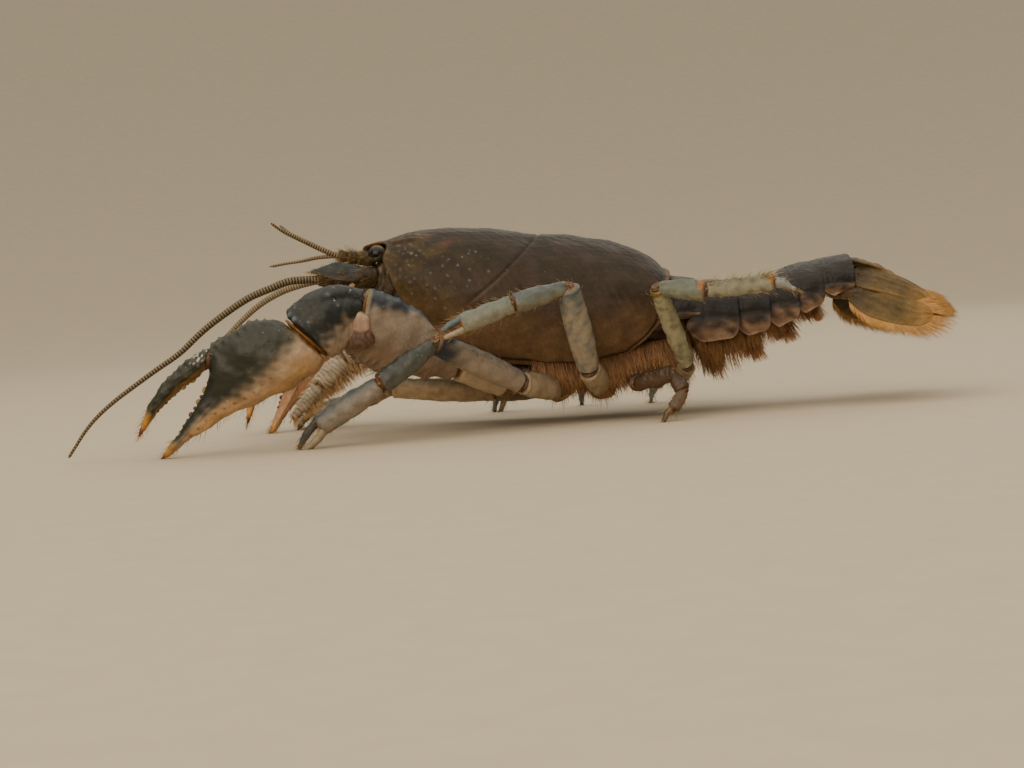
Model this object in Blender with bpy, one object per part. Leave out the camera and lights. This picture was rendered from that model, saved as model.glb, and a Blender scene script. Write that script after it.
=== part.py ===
# A burrowing crayfish standing on its feet, life size, as one still model.
# Sizes are in millimetres in this file and are turned into metres as each mesh is made.
# The head points to -X, the animal's left side to -Y, and the floor is z = 0.
# Fringes of bristles, the swimmerets and the teeth of the claws are fused into the piece they grow from.

import math
import random

import bmesh
import bpy
from mathutils import Matrix, Vector

MM = 0.001
GAP = 0.3          # clear space between two pieces that meet
BRISTLE = 0.25     # half thickness of a lock of bristles
BRISTLE_SUNK = 0.5  # how deep the roots of a fringe lie in the piece that carries it
SPARE_LENGTH = 0.15  # clear length kept on each side of a bent joint
SEED = 7

LEFT, RIGHT = -1, 1
SIDE_NAMES = {LEFT: "left", RIGHT: "right"}

# Shell of head and thorax, front to back: place along X, top, lower edge and half width.
SHELL_STATIONS = (
    (-12.4, 18.75, 15.6, 2.2),
    (-11.7, 19.2, 13.6, 3.5),
    (-10.7, 19.55, 12.0, 4.6),
    (-9.0, 19.85, 10.2, 5.6),
    (-6.0, 19.95, 8.1, 6.6),
    (-2.1, 19.7, 6.7, 7.3),
    (1.2, 19.2, 6.0, 7.6),
    (2.9, 18.6, 5.7, 7.6),
    (3.6, 18.4, 5.55, 7.65),
    (4.6, 18.65, 5.45, 7.8),
    (7.0, 18.35, 5.4, 7.95),
    (9.8, 17.75, 5.9, 7.9),
    (12.3, 16.95, 6.5, 7.6),
    (14.4, 15.75, 7.3, 7.0),
)
SHELL_REAR = (16.3, 14.1, 8.2, 6.2)
SHELL_REAR_LEAN = 0.29        # how far the hind edge leans back for each mm of height
SHELL_TUCK = math.radians(50)  # how far the sides curl in under the widest line
GROOVE_POINT = (3.4, 0.0, 18.4)
GROOVE_NORMAL = (0.72, 0.0, -0.69)

# Underside between the legs: place along X, half width and lowest level.
BELLY_STATIONS = (
    (-6.0, 1.9, 6.0),
    (-2.1, 2.8, 4.6),
    (1.2, 3.4, 3.4),
    (4.6, 3.7, 3.1),
    (7.0, 3.7, 2.9),
    (9.8, 3.7, 3.1),
    (12.3, 3.6, 3.8),
    (14.4, 3.4, 4.1),
)
BELLY_REAR = ((15.4, 3.3, 4.2, 9.1), (16.4, 3.1, 4.4, 9.1), (17.6, 2.6, 5.2, 9.0))
BELLY_FRINGE_LOW = ((5.2, 2.5), (8.2, 1.8), (11.7, 3.0), (13.6, 3.6), (15.6, 2.6), (17.4, 3.5))
BELLY_FRINGE_LOCKS = 11
BELLY_FRINGE_INSET = 0.56  # share of the half width at which its bristles are rooted
BELLY_FRINGE_SPREAD = 0.9  # how far outwards its tips hang
BELLY_WAIST = 0.35         # share of the height, from the top down, that is full width
BELLY_KEEL = 0.62          # share of the half width at the lowest level
LIMB_ROOT_LEAN = 0.12      # how far a limb's root leans on towards the limb
LIMB_ROOT_INSET = 0.42     # share of the coxa's distance from the middle
LIMB_ROOT_RISE = 0.55
PALP_LENGTH = 2.2

ROSTRUM_ROOT = Vector((-9.0, 0.0, 19.05))
ROSTRUM_TIP = Vector((-13.9, 0.0, 18.35))
# Share of the way along the beak, half width and half height.
ROSTRUM_RINGS = ((0.0, 2.3, 0.8), (0.45, 1.75, 0.7), (0.8, 1.15, 0.5), (1.0, 0.3, 0.25))
EYE_PLACE = Vector((-12.3, 2.8, 17.8))
EYE_ROOT = Vector((-11.5, 1.2, 17.2))
EYE_RADIUS = 0.85
EYE_STALK = ((0.0, 0.62), (0.45, 0.8))   # share of the way to the eye and of its radius
EYE_ANGLES = (-50, -10, 30, 62, 82)      # degrees from the eye's widest ring, where its rings lie
FACE_RINGS = ((-8.5, 0.95), (-10.5, 1.0), (-12.2, 0.9), (-13.1, 0.6))   # place along X and share of its size
FACE_TOP, FACE_BOTTOM, FACE_HALF_WIDTH = 17.9, 12.3, 4.5
FEELER_STUB = 2.4
ANTENNULE_RADIUS = 0.62
ANTENNA_RADIUS = 1.0
ANTENNULE_SOCKET = Vector((-13.55, 1.15, 17.45))
ANTENNA_SOCKET = Vector((-13.7, 3.3, 15.55))

# Tail rings: front and back along X, top at each, pleuron tip, belly level and half width.
TAIL_SEGMENTS = (
    dict(front=16.55, back=18.4, top=(13.8, 13.15), tip=8.6, belly=9.6, width=(5.9, 5.9), lobe=0.7),
    dict(front=18.7, back=22.0, top=(13.1, 12.8), tip=7.2, belly=9.0, width=(6.1, 6.2), lobe=1.0),
    dict(front=22.3, back=25.1, top=(12.8, 12.95), tip=7.7, belly=9.2, width=(6.0, 5.9), lobe=1.0),
    dict(front=25.4, back=28.0, top=(13.0, 13.75), tip=8.5, belly=9.9, width=(5.7, 5.6), lobe=1.0),
    dict(front=28.3, back=30.5, top=(13.85, 14.15), tip=9.4, belly=10.7, width=(5.4, 5.2), lobe=0.9),
    dict(front=30.8, back=33.7, top=(14.2, 14.8), tip=10.6, belly=11.4, width=(5.0, 4.5), lobe=0.6),
)
TAIL_RING_SHARES = (0.0, 0.07, 0.22, 0.5, 0.78, 0.93, 1.0)  # where a ring's sections lie along it
PLEURON_LEAST = 0.35
PLEURON_THICKNESS = 0.65
# Swimmerets by tail ring, counted from 0: how far they hang, how far back they lean and their locks.
SWIMMERET_BLADES = ((3.1, 1.0, 0), (1.7, 0.8, 1))  # place from the middle, share of the hang, locks fewer
SWIMMERET_HALF_WIDTH = 0.38                        # share of the length of the tail ring
SWIMMERETS = {1: (6.1, 0.0, 7), 2: (4.7, 0.7, 6), 3: (3.8, 1.1, 5), 4: (2.8, 1.3, 5)}

# Tail fan: the middle line of each blade, half widths along it and the tilt of its outer edge.
TELSON = dict(line=((34.0, 0, 14.0), (36.8, 0, 12.95), (39.7, 0, 11.1), (42.0, 0, 9.75)),
              widths=(2.4, 2.7, 2.6, 1.9), droop=0.0, fringe_from=0.62)
INNER_UROPOD = dict(line=((34.0, 2.9, 12.55), (36.5, 3.9, 11.75), (38.8, 4.45, 10.8), (41.2, 4.8, 9.4)),
                    widths=(0.7, 1.25, 1.35, 0.9), droop=0.66, fringe_from=0.97)
OUTER_UROPOD = dict(line=((34.0, 4.2, 11.0), (36.5, 6.0, 9.35), (38.8, 6.7, 8.5), (40.7, 6.9, 8.25)),
                    widths=(0.7, 1.4, 1.35, 0.9), droop=0.95, fringe_from=0.25)
FAN_EDGE = 0.22            # half thickness of a blade at its edge
FAN_RIDGES = (
    (1.0, 0.22), (0.62, 0.24), (0.3, 0.30), (0.0, 0.52), (-0.3, 0.30), (-0.62, 0.24), (-1.0, 0.22),
)                          # share of the half width and height of the upper face there
FAN_FRINGE = 2.2
FAN_SIDE_FRINGE = 0.9
FAN_LOCKS = 6              # locks round the end of a blade

# Share of the way, half thickness outwards and half height of the arm and the wrist of a claw.
CLAW_ARM_SIZES = (
    (0.15, 1.4, 1.6), (0.38, 1.65, 2.7), (0.62, 1.95, 3.5), (0.84, 2.05, 3.5), (1.0, 1.8, 3.1),
)
CLAW_ROOT_RADIUS = 1.3
CLAW_WRIST_SIZES = ((0.0, 1.7, 2.9), (0.3, 2.1, 3.1), (0.65, 2.3, 3.15), (1.0, 1.8, 2.9))
WRIST_RISE = 0.7
# Hand in its own plane: distance from the wrist, lower edge, upper edge and half thickness.
HAND_STATIONS = (
    (0.0, -2.5, 2.5, 1.6),
    (1.5, -2.95, 3.6, 2.2),
    (3.2, -2.75, 4.5, 2.6),
    (5.2, -2.35, 4.95, 2.6),
    (7.2, -1.8, 5.1, 2.3),
    (8.1, -1.55, 4.3, 2.0),
    (9.0, -1.15, 3.2, 1.7),
    (10.0, -0.95, 2.5, 1.5),
    (11.6, -0.65, 1.9, 1.2),
    (13.6, -0.4, 1.2, 0.9),
    (15.8, -0.3, 0.55, 0.6),
    (17.5, -0.25, 0.15, 0.25),
)
THUMB_LINE = ((8.3, 4.45), (10.2, 4.6), (12.2, 4.6), (13.8, 4.4), (15.2, 4.05), (16.5, 3.55), (17.8, 3.0))
THUMB_SIZES = ((1.0, 1.25), (0.85, 1.1), (0.8, 0.95), (0.62, 0.8), (0.5, 0.6), (0.34, 0.4), (0.15, 0.15))
THUMB_BASE_NORMAL = (0.70, 0.71)
HAND_TEETH = ((10.3, 2.3), (11.5, 1.85), (12.8, 1.4), (14.0, 1.0))
THUMB_TEETH = ((10.6, 3.8), (11.7, 3.85), (12.8, 3.85), (13.9, 3.8), (15.0, 3.65))
TOOTH_RADIUS = 0.36
TOOTH_RINGS = ((-0.9, 1.0), (0.2, 0.85), (0.9, 0.3))   # height and radius, both in tooth radii

# Joints of the claws: coxa, ischium, arm end, wrist end and tip of the fixed finger, the planes in which
# arm, wrist and hand meet, and the way the thumb lies.
CLAWS = {
    LEFT: dict(
        coxa=(-0.6, -4.5, 4.2), elbow=(-5.2, -7.0, 6.3), arm_end=(-14.1, -12.5, 11.55),
        wrist_end=(-18.7, -14.6, 10.3), finger_tip=(-33.0, -14.2, 0.0),
        arm_plane=(-0.87, -0.3, 0.4), wrist_plane=(-0.70, -0.12, -0.70),
        thumb_way=(-0.55, 0.0, 0.83), scale=1.0,
    ),
    RIGHT: dict(
        coxa=(-0.6, 4.5, 4.2), elbow=(-5.2, 7.0, 6.3), arm_end=(-12.6, 12.0, 11.1),
        wrist_end=(-17.0, 14.6, 11.4), finger_tip=(-25.7, 10.4, 0.0),
        arm_plane=(-0.87, 0.45, 0.2), wrist_plane=(-0.86, 0.1, -0.5),
        thumb_way=(-0.765, -0.16, 0.624), scale=0.87,
    ),
}

# Joints of the walking legs: coxa face, ischium end, knee, carpus end, finger root, tip.
# thick: half thickness of thigh, carpus and propodus. pincer: whether the leg ends in one.
LEGS = {
    (LEFT, 2): dict(
        joints=((4.4, -4.5, 3.4), (1.0, -8.2, 4.4), (-6.9, -13.2, 9.0),
                (-12.2, -14.9, 5.5), (-17.9, -14.9, 2.2), (-20.0, -14.6, -0.15)),
        thick=(1.2, 1.05, 1.15), pincer=True,
    ),
    (LEFT, 3): dict(
        joints=((8.8, -4.6, 3.3), (7.5, -8.0, 5.2), (5.8, -13.2, 13.4),
                (0.6, -14.4, 12.1), (-4.2, -15.0, 10.6), (-6.3, -15.2, 9.7)),
        thick=(1.2, 0.95, 0.98), pincer=True,
    ),
    (LEFT, 4): dict(
        joints=((12.8, -4.4, 3.8), (11.9, -6.8, 3.5), (15.4, -9.4, 4.4),
                (16.2, -10.9, 2.7), (15.0, -11.6, 1.2), (14.0, -11.9, -0.15)),
        thick=(0.85, 0.7, 0.6), pincer=False,
    ),
    (LEFT, 5): dict(
        joints=((16.6, -4.2, 4.0), (17.0, -7.2, 4.9), (14.2, -12.2, 12.7),
                (18.7, -13.0, 12.1), (24.9, -13.0, 12.4), (27.2, -12.6, 11.5)),
        thick=(0.85, 0.95, 0.82), pincer=False,
    ),
    (RIGHT, 2): dict(
        joints=((4.4, 4.5, 3.4), (-1.6, 7.0, 2.9), (-12.6, 10.0, 3.9),
                (-16.9, 11.4, 2.6), (-20.9, 12.4, 1.5), (-23.0, 12.6, -0.15)),
        thick=(1.15, 1.0, 1.1), pincer=True,
    ),
    (RIGHT, 3): dict(
        joints=((8.8, 4.6, 3.3), (8.2, 8.4, 5.4), (5.0, 13.4, 10.6),
                (1.4, 16.8, 6.8), (-1.0, 18.9, 2.4), (-1.9, 19.6, -0.15)),
        thick=(1.15, 0.95, 0.98), pincer=True,
    ),
    (RIGHT, 4): dict(
        joints=((13.0, 4.5, 3.5), (13.2, 8.4, 5.2), (11.6, 13.8, 10.4),
                (9.4, 17.6, 6.4), (8.0, 20.2, 2.2), (7.6, 20.9, -0.15)),
        thick=(1.0, 0.85, 0.75), pincer=False,
    ),
    (RIGHT, 5): dict(
        joints=((16.6, 4.2, 4.0), (17.9, 7.8, 5.6), (20.4, 12.4, 9.2),
                (18.0, 14.6, 5.2), (15.6, 16.2, 1.9), (14.9, 16.6, -0.15)),
        thick=(0.95, 0.85, 0.7), pincer=False,
    ),
}
# Shares of the thickness along a leg.
THIGH_SHAPE = (0.95, 1.0, 0.88, 1.0, 0.98, 0.8, 0.68)
CARPUS_SHAPE = (0.68, 0.92, 1.0)
PALM_SHAPE = (0.78, 0.92, 1.0, 0.86)
TOE_TIP_RADIUS = 0.25

ANTENNA_BASE = ((0.0, 0.0, 0.0), (-2.2, 0.75, 0.1), (-4.4, 1.6, 0.15))   # from the socket, right side
ANTENNA_BASE_RADII = (1.0, 1.08, 0.9, 0.92, 0.6)
ANTENNA_SCALE_ROOT, ANTENNA_SCALE_TIP = (-0.7, 0.5, 0.35), (-0.3, 0.35, 0.65)
# Share of the way along the antenna scale, half width and half thickness.
ANTENNA_SCALE = ((0.0, 0.8, 0.32), (0.3, 1.15, 0.32), (0.65, 1.05, 0.3), (0.9, 0.55, 0.28), (1.0, 0.2, 0.2))
ANTENNA_WHIPS = {
    LEFT: (
        (-20.8, -5.8, 15.7), (-22.7, -6.5, 15.1), (-24.7, -7.2, 14.35), (-26.9, -8.0, 13.05),
        (-29.1, -8.8, 11.5), (-31.3, -9.6, 9.6), (-33.5, -10.4, 8.2), (-35.4, -11.1, 6.95),
        (-37.3, -11.8, 5.65), (-38.9, -12.4, 4.35), (-40.1, -12.9, 3.05), (-41.1, -13.2, 1.65),
        (-41.8, -13.4, 0.65),
    ),
    RIGHT: (
        (-20.9, 5.6, 15.35), (-23.2, 6.5, 14.7), (-25.6, 7.5, 13.5), (-28.0, 8.5, 11.7),
        (-30.2, 9.4, 9.8), (-32.3, 10.3, 8.3), (-34.3, 11.1, 7.3), (-36.3, 11.8, 6.5),
    ),
}
WHIP_ROOT, WHIP_TIP, FLAGELLUM_TIP = 0.4, 0.16, 0.16
ANTENNULE_STEM = Vector((-2.75, 0.2, 0.45))
ANTENNULE_RINGS = ((0.0, 0.62), (0.35, 0.7), (0.7, 0.58), (1.0, 0.42))   # share of the stem and radius
ANTENNULE_OUTER = (
    (-1.7, 0.25, 0.8), (-2.95, 0.65, 1.5), (-4.2, 1.15, 2.2), (-5.1, 1.7, 2.75), (-6.1, 2.4, 3.6),
)
ANTENNULE_INNER = ((-2.1, -0.25, 0.0), (-3.9, -0.35, -0.25), (-5.6, -0.2, -0.4), (-6.9, 0.0, -0.6))

MAXILLIPED = ((-6.7, 1.5, 7.2), (-9.4, 2.2, 8.5), (-12.2, 3.0, 9.6), (-13.95, 3.5, 9.15), (-16.2, 4.1, 7.8),
              (-18.8, 5.0, 5.3), (-21.5, 5.9, 2.4))
MAXILLIPED_SIZES = ((0.8, 0.6), (1.0, 0.65), (1.05, 0.65), (1.0, 0.62), (1.0, 0.6), (0.85, 0.5), (0.4, 0.3))
MAXILLIPED_BACK_REACH = 2.5
MAXILLIPED_FRONT_REACH = 1.5
COMB_TAPER = 0.5

COLOURS = {
    "shell": (0.062, 0.047, 0.037),
    "belly": (0.16, 0.085, 0.04),
    "tail": (0.07, 0.06, 0.055),
    "fan": (0.16, 0.10, 0.05),
    "limb": (0.30, 0.28, 0.22),
    "claw": (0.14, 0.15, 0.12),
    "feeler": (0.13, 0.09, 0.05),
    "mouth": (0.42, 0.33, 0.24),
    "eye": (0.012, 0.010, 0.009),
}
ROUGHNESS = {"eye": 0.15, "fan": 0.6, "belly": 0.8, "mouth": 0.7}
SHELL_ROUGHNESS = 0.45
SHARP_ANGLE = 50


def clear_scene():
    for obj in list(bpy.data.objects):
        bpy.data.objects.remove(obj)


def make_materials():
    made = {}
    for name, colour in COLOURS.items():
        material = bpy.data.materials.new(name)
        material.use_nodes = True
        shader = material.node_tree.nodes["Principled BSDF"]
        shader.inputs["Base Color"].default_value = (*colour, 1.0)
        shader.inputs["Roughness"].default_value = ROUGHNESS.get(name, SHELL_ROUGHNESS)
        shader.inputs["Metallic"].default_value = 0.0
        made[name] = material
    return made


def mirrored(point, side):
    """A point written for the right side, on the side asked for."""
    return Vector((point[0], point[1] * side, point[2]))


def face_outwards(bm):
    bmesh.ops.recalc_face_normals(bm, faces=bm.faces)
    if bm.calc_volume(signed=True) < 0:
        bmesh.ops.reverse_faces(bm, faces=bm.faces)


def add_object(name, bm, material):
    mesh = bpy.data.meshes.new(name)
    face_outwards(bm)
    bm.to_mesh(mesh)
    bm.free()
    mesh.materials.append(material)
    obj = bpy.data.objects.new(name, mesh)
    bpy.context.scene.collection.objects.link(obj)
    return obj


def loft(name, rings, material):
    """A closed body through rings of the same number of points, with a flat cap at each end."""
    bm = bmesh.new()
    loops = [[bm.verts.new(point * MM) for point in ring] for ring in rings]
    count = len(loops[0])
    for near, far in zip(loops, loops[1:]):
        for i in range(count):
            j = (i + 1) % count
            bm.faces.new((near[i], near[j], far[j], far[i]))
    bm.faces.new(loops[0])
    bm.faces.new(loops[-1])
    return add_object(name, bm, material)


def frame_along(direction, up_hint):
    """Two unit vectors square to a direction: across, and the one nearest to up_hint."""
    across = direction.cross(up_hint).normalized()
    return across, across.cross(direction).normalized()


def slid_to_plane(ring, way, centre, normal, share=1.0):
    """Slides the points of a ring along a way, on to a plane through centre or part of the way to it."""
    return [point + way * (share * (centre - point).dot(normal) / way.dot(normal)) for point in ring]


def oval_ring(centre, across, up, half_across, half_up, count):
    ring = []
    for i in range(count):
        angle = 2 * math.pi * i / count
        ring.append(centre + across * (half_across * math.cos(angle)) + up * (half_up * math.sin(angle)))
    return ring


def matched(ring, before):
    """The ring with its points renumbered, so that each lies next to its mate in the ring before."""
    count = len(ring)
    starts = [(start, step) for start in range(count) for step in (1, -1)]
    orders = [[ring[(start + step * i) % count] for i in range(count)] for start, step in starts]
    return min(orders, key=lambda order: sum((a - b).length for a, b in zip(order, before)))


def round_ring(centre, direction, up_hint, half_across, half_up, count):
    across, up = frame_along(direction, up_hint)
    return oval_ring(centre, across, up, half_across, half_up, count)


def path_directions(points, start=None, end=None):
    """The unit direction at each point of a path, the mean of its two neighbours inside it."""
    steps = [(b - a).normalized() for a, b in zip(points, points[1:])]
    inner = [(a + b).normalized() for a, b in zip(steps, steps[1:])]
    return [start or steps[0], *inner, end or steps[-1]]


def limb_rings(points, sizes, up_hint, sides, ways):
    """Rings along a path, with the direction across them carried on from one to the next."""
    across, _ = frame_along(ways[0], up_hint)
    rings = []
    for point, way, (half_across, half_up) in zip(points, ways, sizes):
        across = (across - way * across.dot(way)).normalized()
        rings.append(oval_ring(point, across, across.cross(way).normalized(), half_across, half_up, sides))
    return rings


def tube(name, points, sizes, material, up_hint, sides=8, start=None, end=None, ways=None):
    """A tapering limb along points. sizes holds the half width across and the half height at each point."""
    ways = ways or path_directions(points, start, end)
    return loft(name, limb_rings(points, sizes, up_hint, sides, ways), material)


def smooth_path(knots, steps):
    """Points on a Catmull-Rom curve through knots, with the same number of steps between each two."""
    knots = [Vector(k) for k in knots]
    ends = [knots[0] * 2 - knots[1], *knots, knots[-1] * 2 - knots[-2]]
    points = []
    for a, b, c, d in zip(ends, ends[1:], ends[2:], ends[3:]):
        for i in range(steps):
            t = i / steps
            bend = (2 * a - 5 * b + 4 * c - d) * t**2
            twist = (3 * b - a - 3 * c + d) * t**3
            points.append((2 * b + (c - a) * t + bend + twist) / 2)
    points.append(knots[-1])
    return points


def evaluated_mesh(obj):
    graph = bpy.context.evaluated_depsgraph_get()
    return bpy.data.meshes.new_from_object(obj.evaluated_get(graph))


def keep_largest(mesh):
    """Leaves the closed surface with the largest volume, and drops sealed hollows and loose scraps."""
    bm = bmesh.new()
    bm.from_mesh(mesh)
    islands, seen = [], set()
    for face in bm.faces:
        if face in seen:
            continue
        stack, island = [face], []
        seen.add(face)
        while stack:
            here = stack.pop()
            island.append(here)
            for edge in here.edges:
                for other in edge.link_faces:
                    if other not in seen:
                        seen.add(other)
                        stack.append(other)
        islands.append(island)
    if len(islands) > 1:
        def volume(island):
            total = 0.0
            for face in island:
                first = face.verts[0].co
                for a, b in zip(face.verts[1:], face.verts[2:]):
                    total += first.dot(a.co.cross(b.co)) / 6
            return total
        islands.sort(key=volume)
        dropped = [face for island in islands[:-1] for face in island]
        bmesh.ops.delete(bm, geom=dropped, context="FACES")
    bm.to_mesh(mesh)
    bm.free()


def fuse(base, pieces, solver="EXACT", operation="UNION"):
    """Joins closed pieces to base, or cuts them from it, with one Boolean, and removes them."""
    group = bpy.data.collections.new("pieces")
    for piece in pieces:
        bpy.context.scene.collection.objects.unlink(piece)
        group.objects.link(piece)
    bpy.context.scene.collection.children.link(group)
    boolean = base.modifiers.new("fuse", "BOOLEAN")
    boolean.operand_type = "COLLECTION"
    boolean.collection = group
    boolean.operation = operation
    boolean.solver = solver
    if solver == "EXACT":
        boolean.use_self = True
    bpy.context.view_layer.update()
    mesh = evaluated_mesh(base)
    base.modifiers.clear()
    base.data = mesh
    mesh.name = base.name
    for piece in list(group.objects):
        bpy.data.objects.remove(piece)
    bpy.data.collections.remove(group)
    keep_largest(mesh)
    return base


def cut_flat(obj, point, normal):
    """Cuts off what lies past a plane and closes the cut with one flat face."""
    bm = bmesh.new()
    bm.from_mesh(obj.data)
    bmesh.ops.bisect_plane(
        bm,
        geom=[*bm.verts, *bm.edges, *bm.faces],
        dist=1e-7,
        plane_co=Vector(point) * MM,
        plane_no=Vector(normal),
        clear_outer=True,
    )
    rim = [edge for edge in bm.edges if edge.is_boundary]
    if rim:
        bmesh.ops.holes_fill(bm, edges=rim, sides=0)
    face_outwards(bm)
    bm.to_mesh(obj.data)
    bm.free()
    return obj


def stand_on_floor(obj):
    return cut_flat(obj, (0, 0, 0), (0, 0, -1))


def fringe(name, roots, tips, joined, normal, material):
    """Flat bristle locks side by side, joined up to a share of their length: one more root than tips."""
    valleys = []
    for i, root in enumerate(roots):
        beside = [tips[k] for k in (i - 1, i) if 0 <= k < len(tips)]
        valleys.append(root.lerp(sum(beside, Vector()) / len(beside), joined))
    bm = bmesh.new()
    layers = []
    for face_side in (1, -1):
        offset = normal * BRISTLE * face_side
        layers.append([[bm.verts.new((point + offset * share) * MM) for point in row]
                       for row, share in ((roots, 1.0), (valleys, 0.9), (tips, 0.4))])
    for root, valley, tip in layers:
        for i in range(len(tips)):
            bm.faces.new((root[i], root[i + 1], valley[i + 1], valley[i]))
            bm.faces.new((valley[i], valley[i + 1], tip[i]))
    (root_a, valley_a, tip_a), (root_b, valley_b, tip_b) = layers
    for i in range(len(tips)):
        bm.faces.new((root_a[i], root_a[i + 1], root_b[i + 1], root_b[i]))
        bm.faces.new((valley_a[i], tip_a[i], tip_b[i], valley_b[i]))
        bm.faces.new((tip_a[i], valley_a[i + 1], valley_b[i + 1], tip_b[i]))
    for i in (0, -1):
        bm.faces.new((root_a[i], valley_a[i], valley_b[i], root_b[i]))
    return add_object(name, bm, material)


def shell_ring(x, top, bottom, half_width, lean=0.0, count=20):
    """A section of the shell: a full arch whose sides curl in to a flat lower edge."""
    middle = bottom + 0.4 * (top - bottom)
    drop = (middle - bottom) / math.sin(SHELL_TUCK)
    ring = []
    for i in range(count):
        angle = -SHELL_TUCK + (math.pi + 2 * SHELL_TUCK) * i / (count - 1)
        rise = (top - middle) if angle > 0 and angle < math.pi else drop
        z = middle + rise * math.sin(angle)
        ring.append(Vector((x + lean * (z - top), half_width * math.cos(angle), z)))
    return ring


def build_whole_shell(name, material):
    rings = [shell_ring(*row) for row in SHELL_STATIONS]
    rings.append(shell_ring(*SHELL_REAR, lean=SHELL_REAR_LEAN))
    return loft(name, rings, material)


def build_shells(materials):
    point, normal = Vector(GROOVE_POINT), Vector(GROOVE_NORMAL).normalized()
    thorax = build_whole_shell("thorax_shell", materials["shell"])
    cut_flat(thorax, point + normal * GAP / 2, -normal)
    head = build_whole_shell("head_shell", materials["shell"])
    cut_flat(head, point - normal * GAP / 2, normal)
    added = [build_rostrum(materials["shell"]), build_face(materials["shell"])]
    for side in (LEFT, RIGHT):
        for place, way, radius in (
            (ANTENNULE_SOCKET, ANTENNULE_STEM, ANTENNULE_RADIUS),
            (ANTENNA_SOCKET, ANTENNA_BASE[1], ANTENNA_RADIUS),
        ):
            added.append(feeler_stub(place, way, side, radius, materials["shell"]))
    fuse(head, added)
    sockets = [eye_shape("eye_socket", side, GAP, materials["eye"]) for side in (LEFT, RIGHT)]
    fuse(head, sockets, operation="DIFFERENCE")


def build_rostrum(material):
    """A flat beak that narrows to the tip between the eyes."""
    rings = []
    for share, half, deep in ROSTRUM_RINGS:
        centre = ROSTRUM_ROOT.lerp(ROSTRUM_TIP, share)
        rings.append(round_ring(centre, Vector((-1, 0, -0.13)), Vector((0, 0, 1)), half, deep, 8))
    return loft("rostrum", rings, material)


def build_face(material):
    """The block under the eyes that carries both pairs of feelers."""
    middle = (FACE_TOP + FACE_BOTTOM) / 2
    half_height = (FACE_TOP - FACE_BOTTOM) / 2
    rings = []
    for x, share in FACE_RINGS:
        rings.append(
            round_ring(Vector((x, 0, middle)), Vector((-1, 0, 0)), Vector((0, 0, 1)),
                       FACE_HALF_WIDTH * share, half_height * share, 12)
        )
    return loft("face", rings, material)


def feeler_stub(place, way, side, radius, material):
    """A short round stub out of the face, which ends half a gap before the feeler begins."""
    end, way = mirrored(place, side), mirrored(way, side).normalized()
    points = [end - way * FEELER_STUB, end - way * GAP / 2]
    return tube("stub", points, [(radius, radius)] * 2, material, Vector((0, 0, 1)))


def eye_shape(name, side, extra, material):
    """A stalk that ends in a round eye, made thicker by extra all over."""
    root, eye = mirrored(EYE_ROOT, side), mirrored(EYE_PLACE, side)
    way = (eye - root).normalized()
    radius = EYE_RADIUS + extra
    (_, root_share), (neck, neck_share) = EYE_STALK
    points = [root - way * extra, root.lerp(eye, neck)]
    sizes = [(radius * root_share,) * 2, (radius * neck_share,) * 2]
    for angle in EYE_ANGLES:
        turn = math.radians(angle)
        points.append(eye + way * radius * math.sin(turn))
        sizes.append((radius * math.cos(turn), radius * math.cos(turn)))
    return tube(name, points, sizes, material, Vector((0, 0, 1)), sides=10)


def build_eyes(materials):
    for side in (LEFT, RIGHT):
        eye_shape("eye_" + SIDE_NAMES[side], side, 0.0, materials["eye"])


def between(rows, x, column):
    """The value of a column at a place along X, between the rows of a table."""
    for a, b in zip(rows, rows[1:]):
        if a[0] <= x <= b[0]:
            return a[column] + (x - a[0]) / (b[0] - a[0]) * (b[column] - a[column])
    return rows[-1][column]


def belly_ring(x, half_width, low, top):
    """A flat-topped trough between the legs."""
    waist = top - BELLY_WAIST * (top - low)
    right = ((1.0, top), (1.0, waist), (BELLY_KEEL, low))
    outline = [*right, *((-share, z) for share, z in reversed(right))]
    return [Vector((x, half_width * share, z)) for share, z in outline]


def leg_root(coxa, toward):
    """Where the stub of a leg starts inside the belly, and the way it points."""
    coxa = Vector(coxa)
    back = (coxa.x - toward[0]) * LIMB_ROOT_LEAN
    inside = Vector((coxa.x + back, coxa.y * LIMB_ROOT_INSET, coxa.z + LIMB_ROOT_RISE))
    return inside, (coxa - inside).normalized()


def coxa_stub(coxa, toward, radius, material):
    inside, way = leg_root(coxa, toward)
    points = [inside, Vector(coxa) - way * GAP / 2]
    return tube("coxa", points, [(radius, radius)] * 2, material, Vector((0, 0, 1)))


def build_belly(materials):
    shell_rows = [*SHELL_STATIONS, SHELL_REAR]
    rings = [belly_ring(x, half, low, between(shell_rows, x, 2) - GAP) for x, half, low in BELLY_STATIONS]
    rings += [belly_ring(*row) for row in BELLY_REAR]
    belly = loft("underbelly", rings, materials["belly"])
    added = []
    for claw in CLAWS.values():
        added.append(coxa_stub(claw["coxa"], claw["elbow"], CLAW_ROOT_RADIUS, materials["belly"]))
    for leg in LEGS.values():
        added.append(coxa_stub(leg["joints"][0], leg["joints"][1], leg["thick"][0], materials["belly"]))
    for side in (LEFT, RIGHT):
        start, way = mirrored(MAXILLIPED[0], side), maxilliped_way(side)
        points = [start - way * PALP_LENGTH, start - way * GAP / 2]
        added.append(tube("palp", points, [MAXILLIPED_SIZES[0]] * 2, materials["belly"], Vector((0, 0, 1))))
        added.append(belly_fringe(side, materials["belly"]))
    fuse(belly, added)


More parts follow.
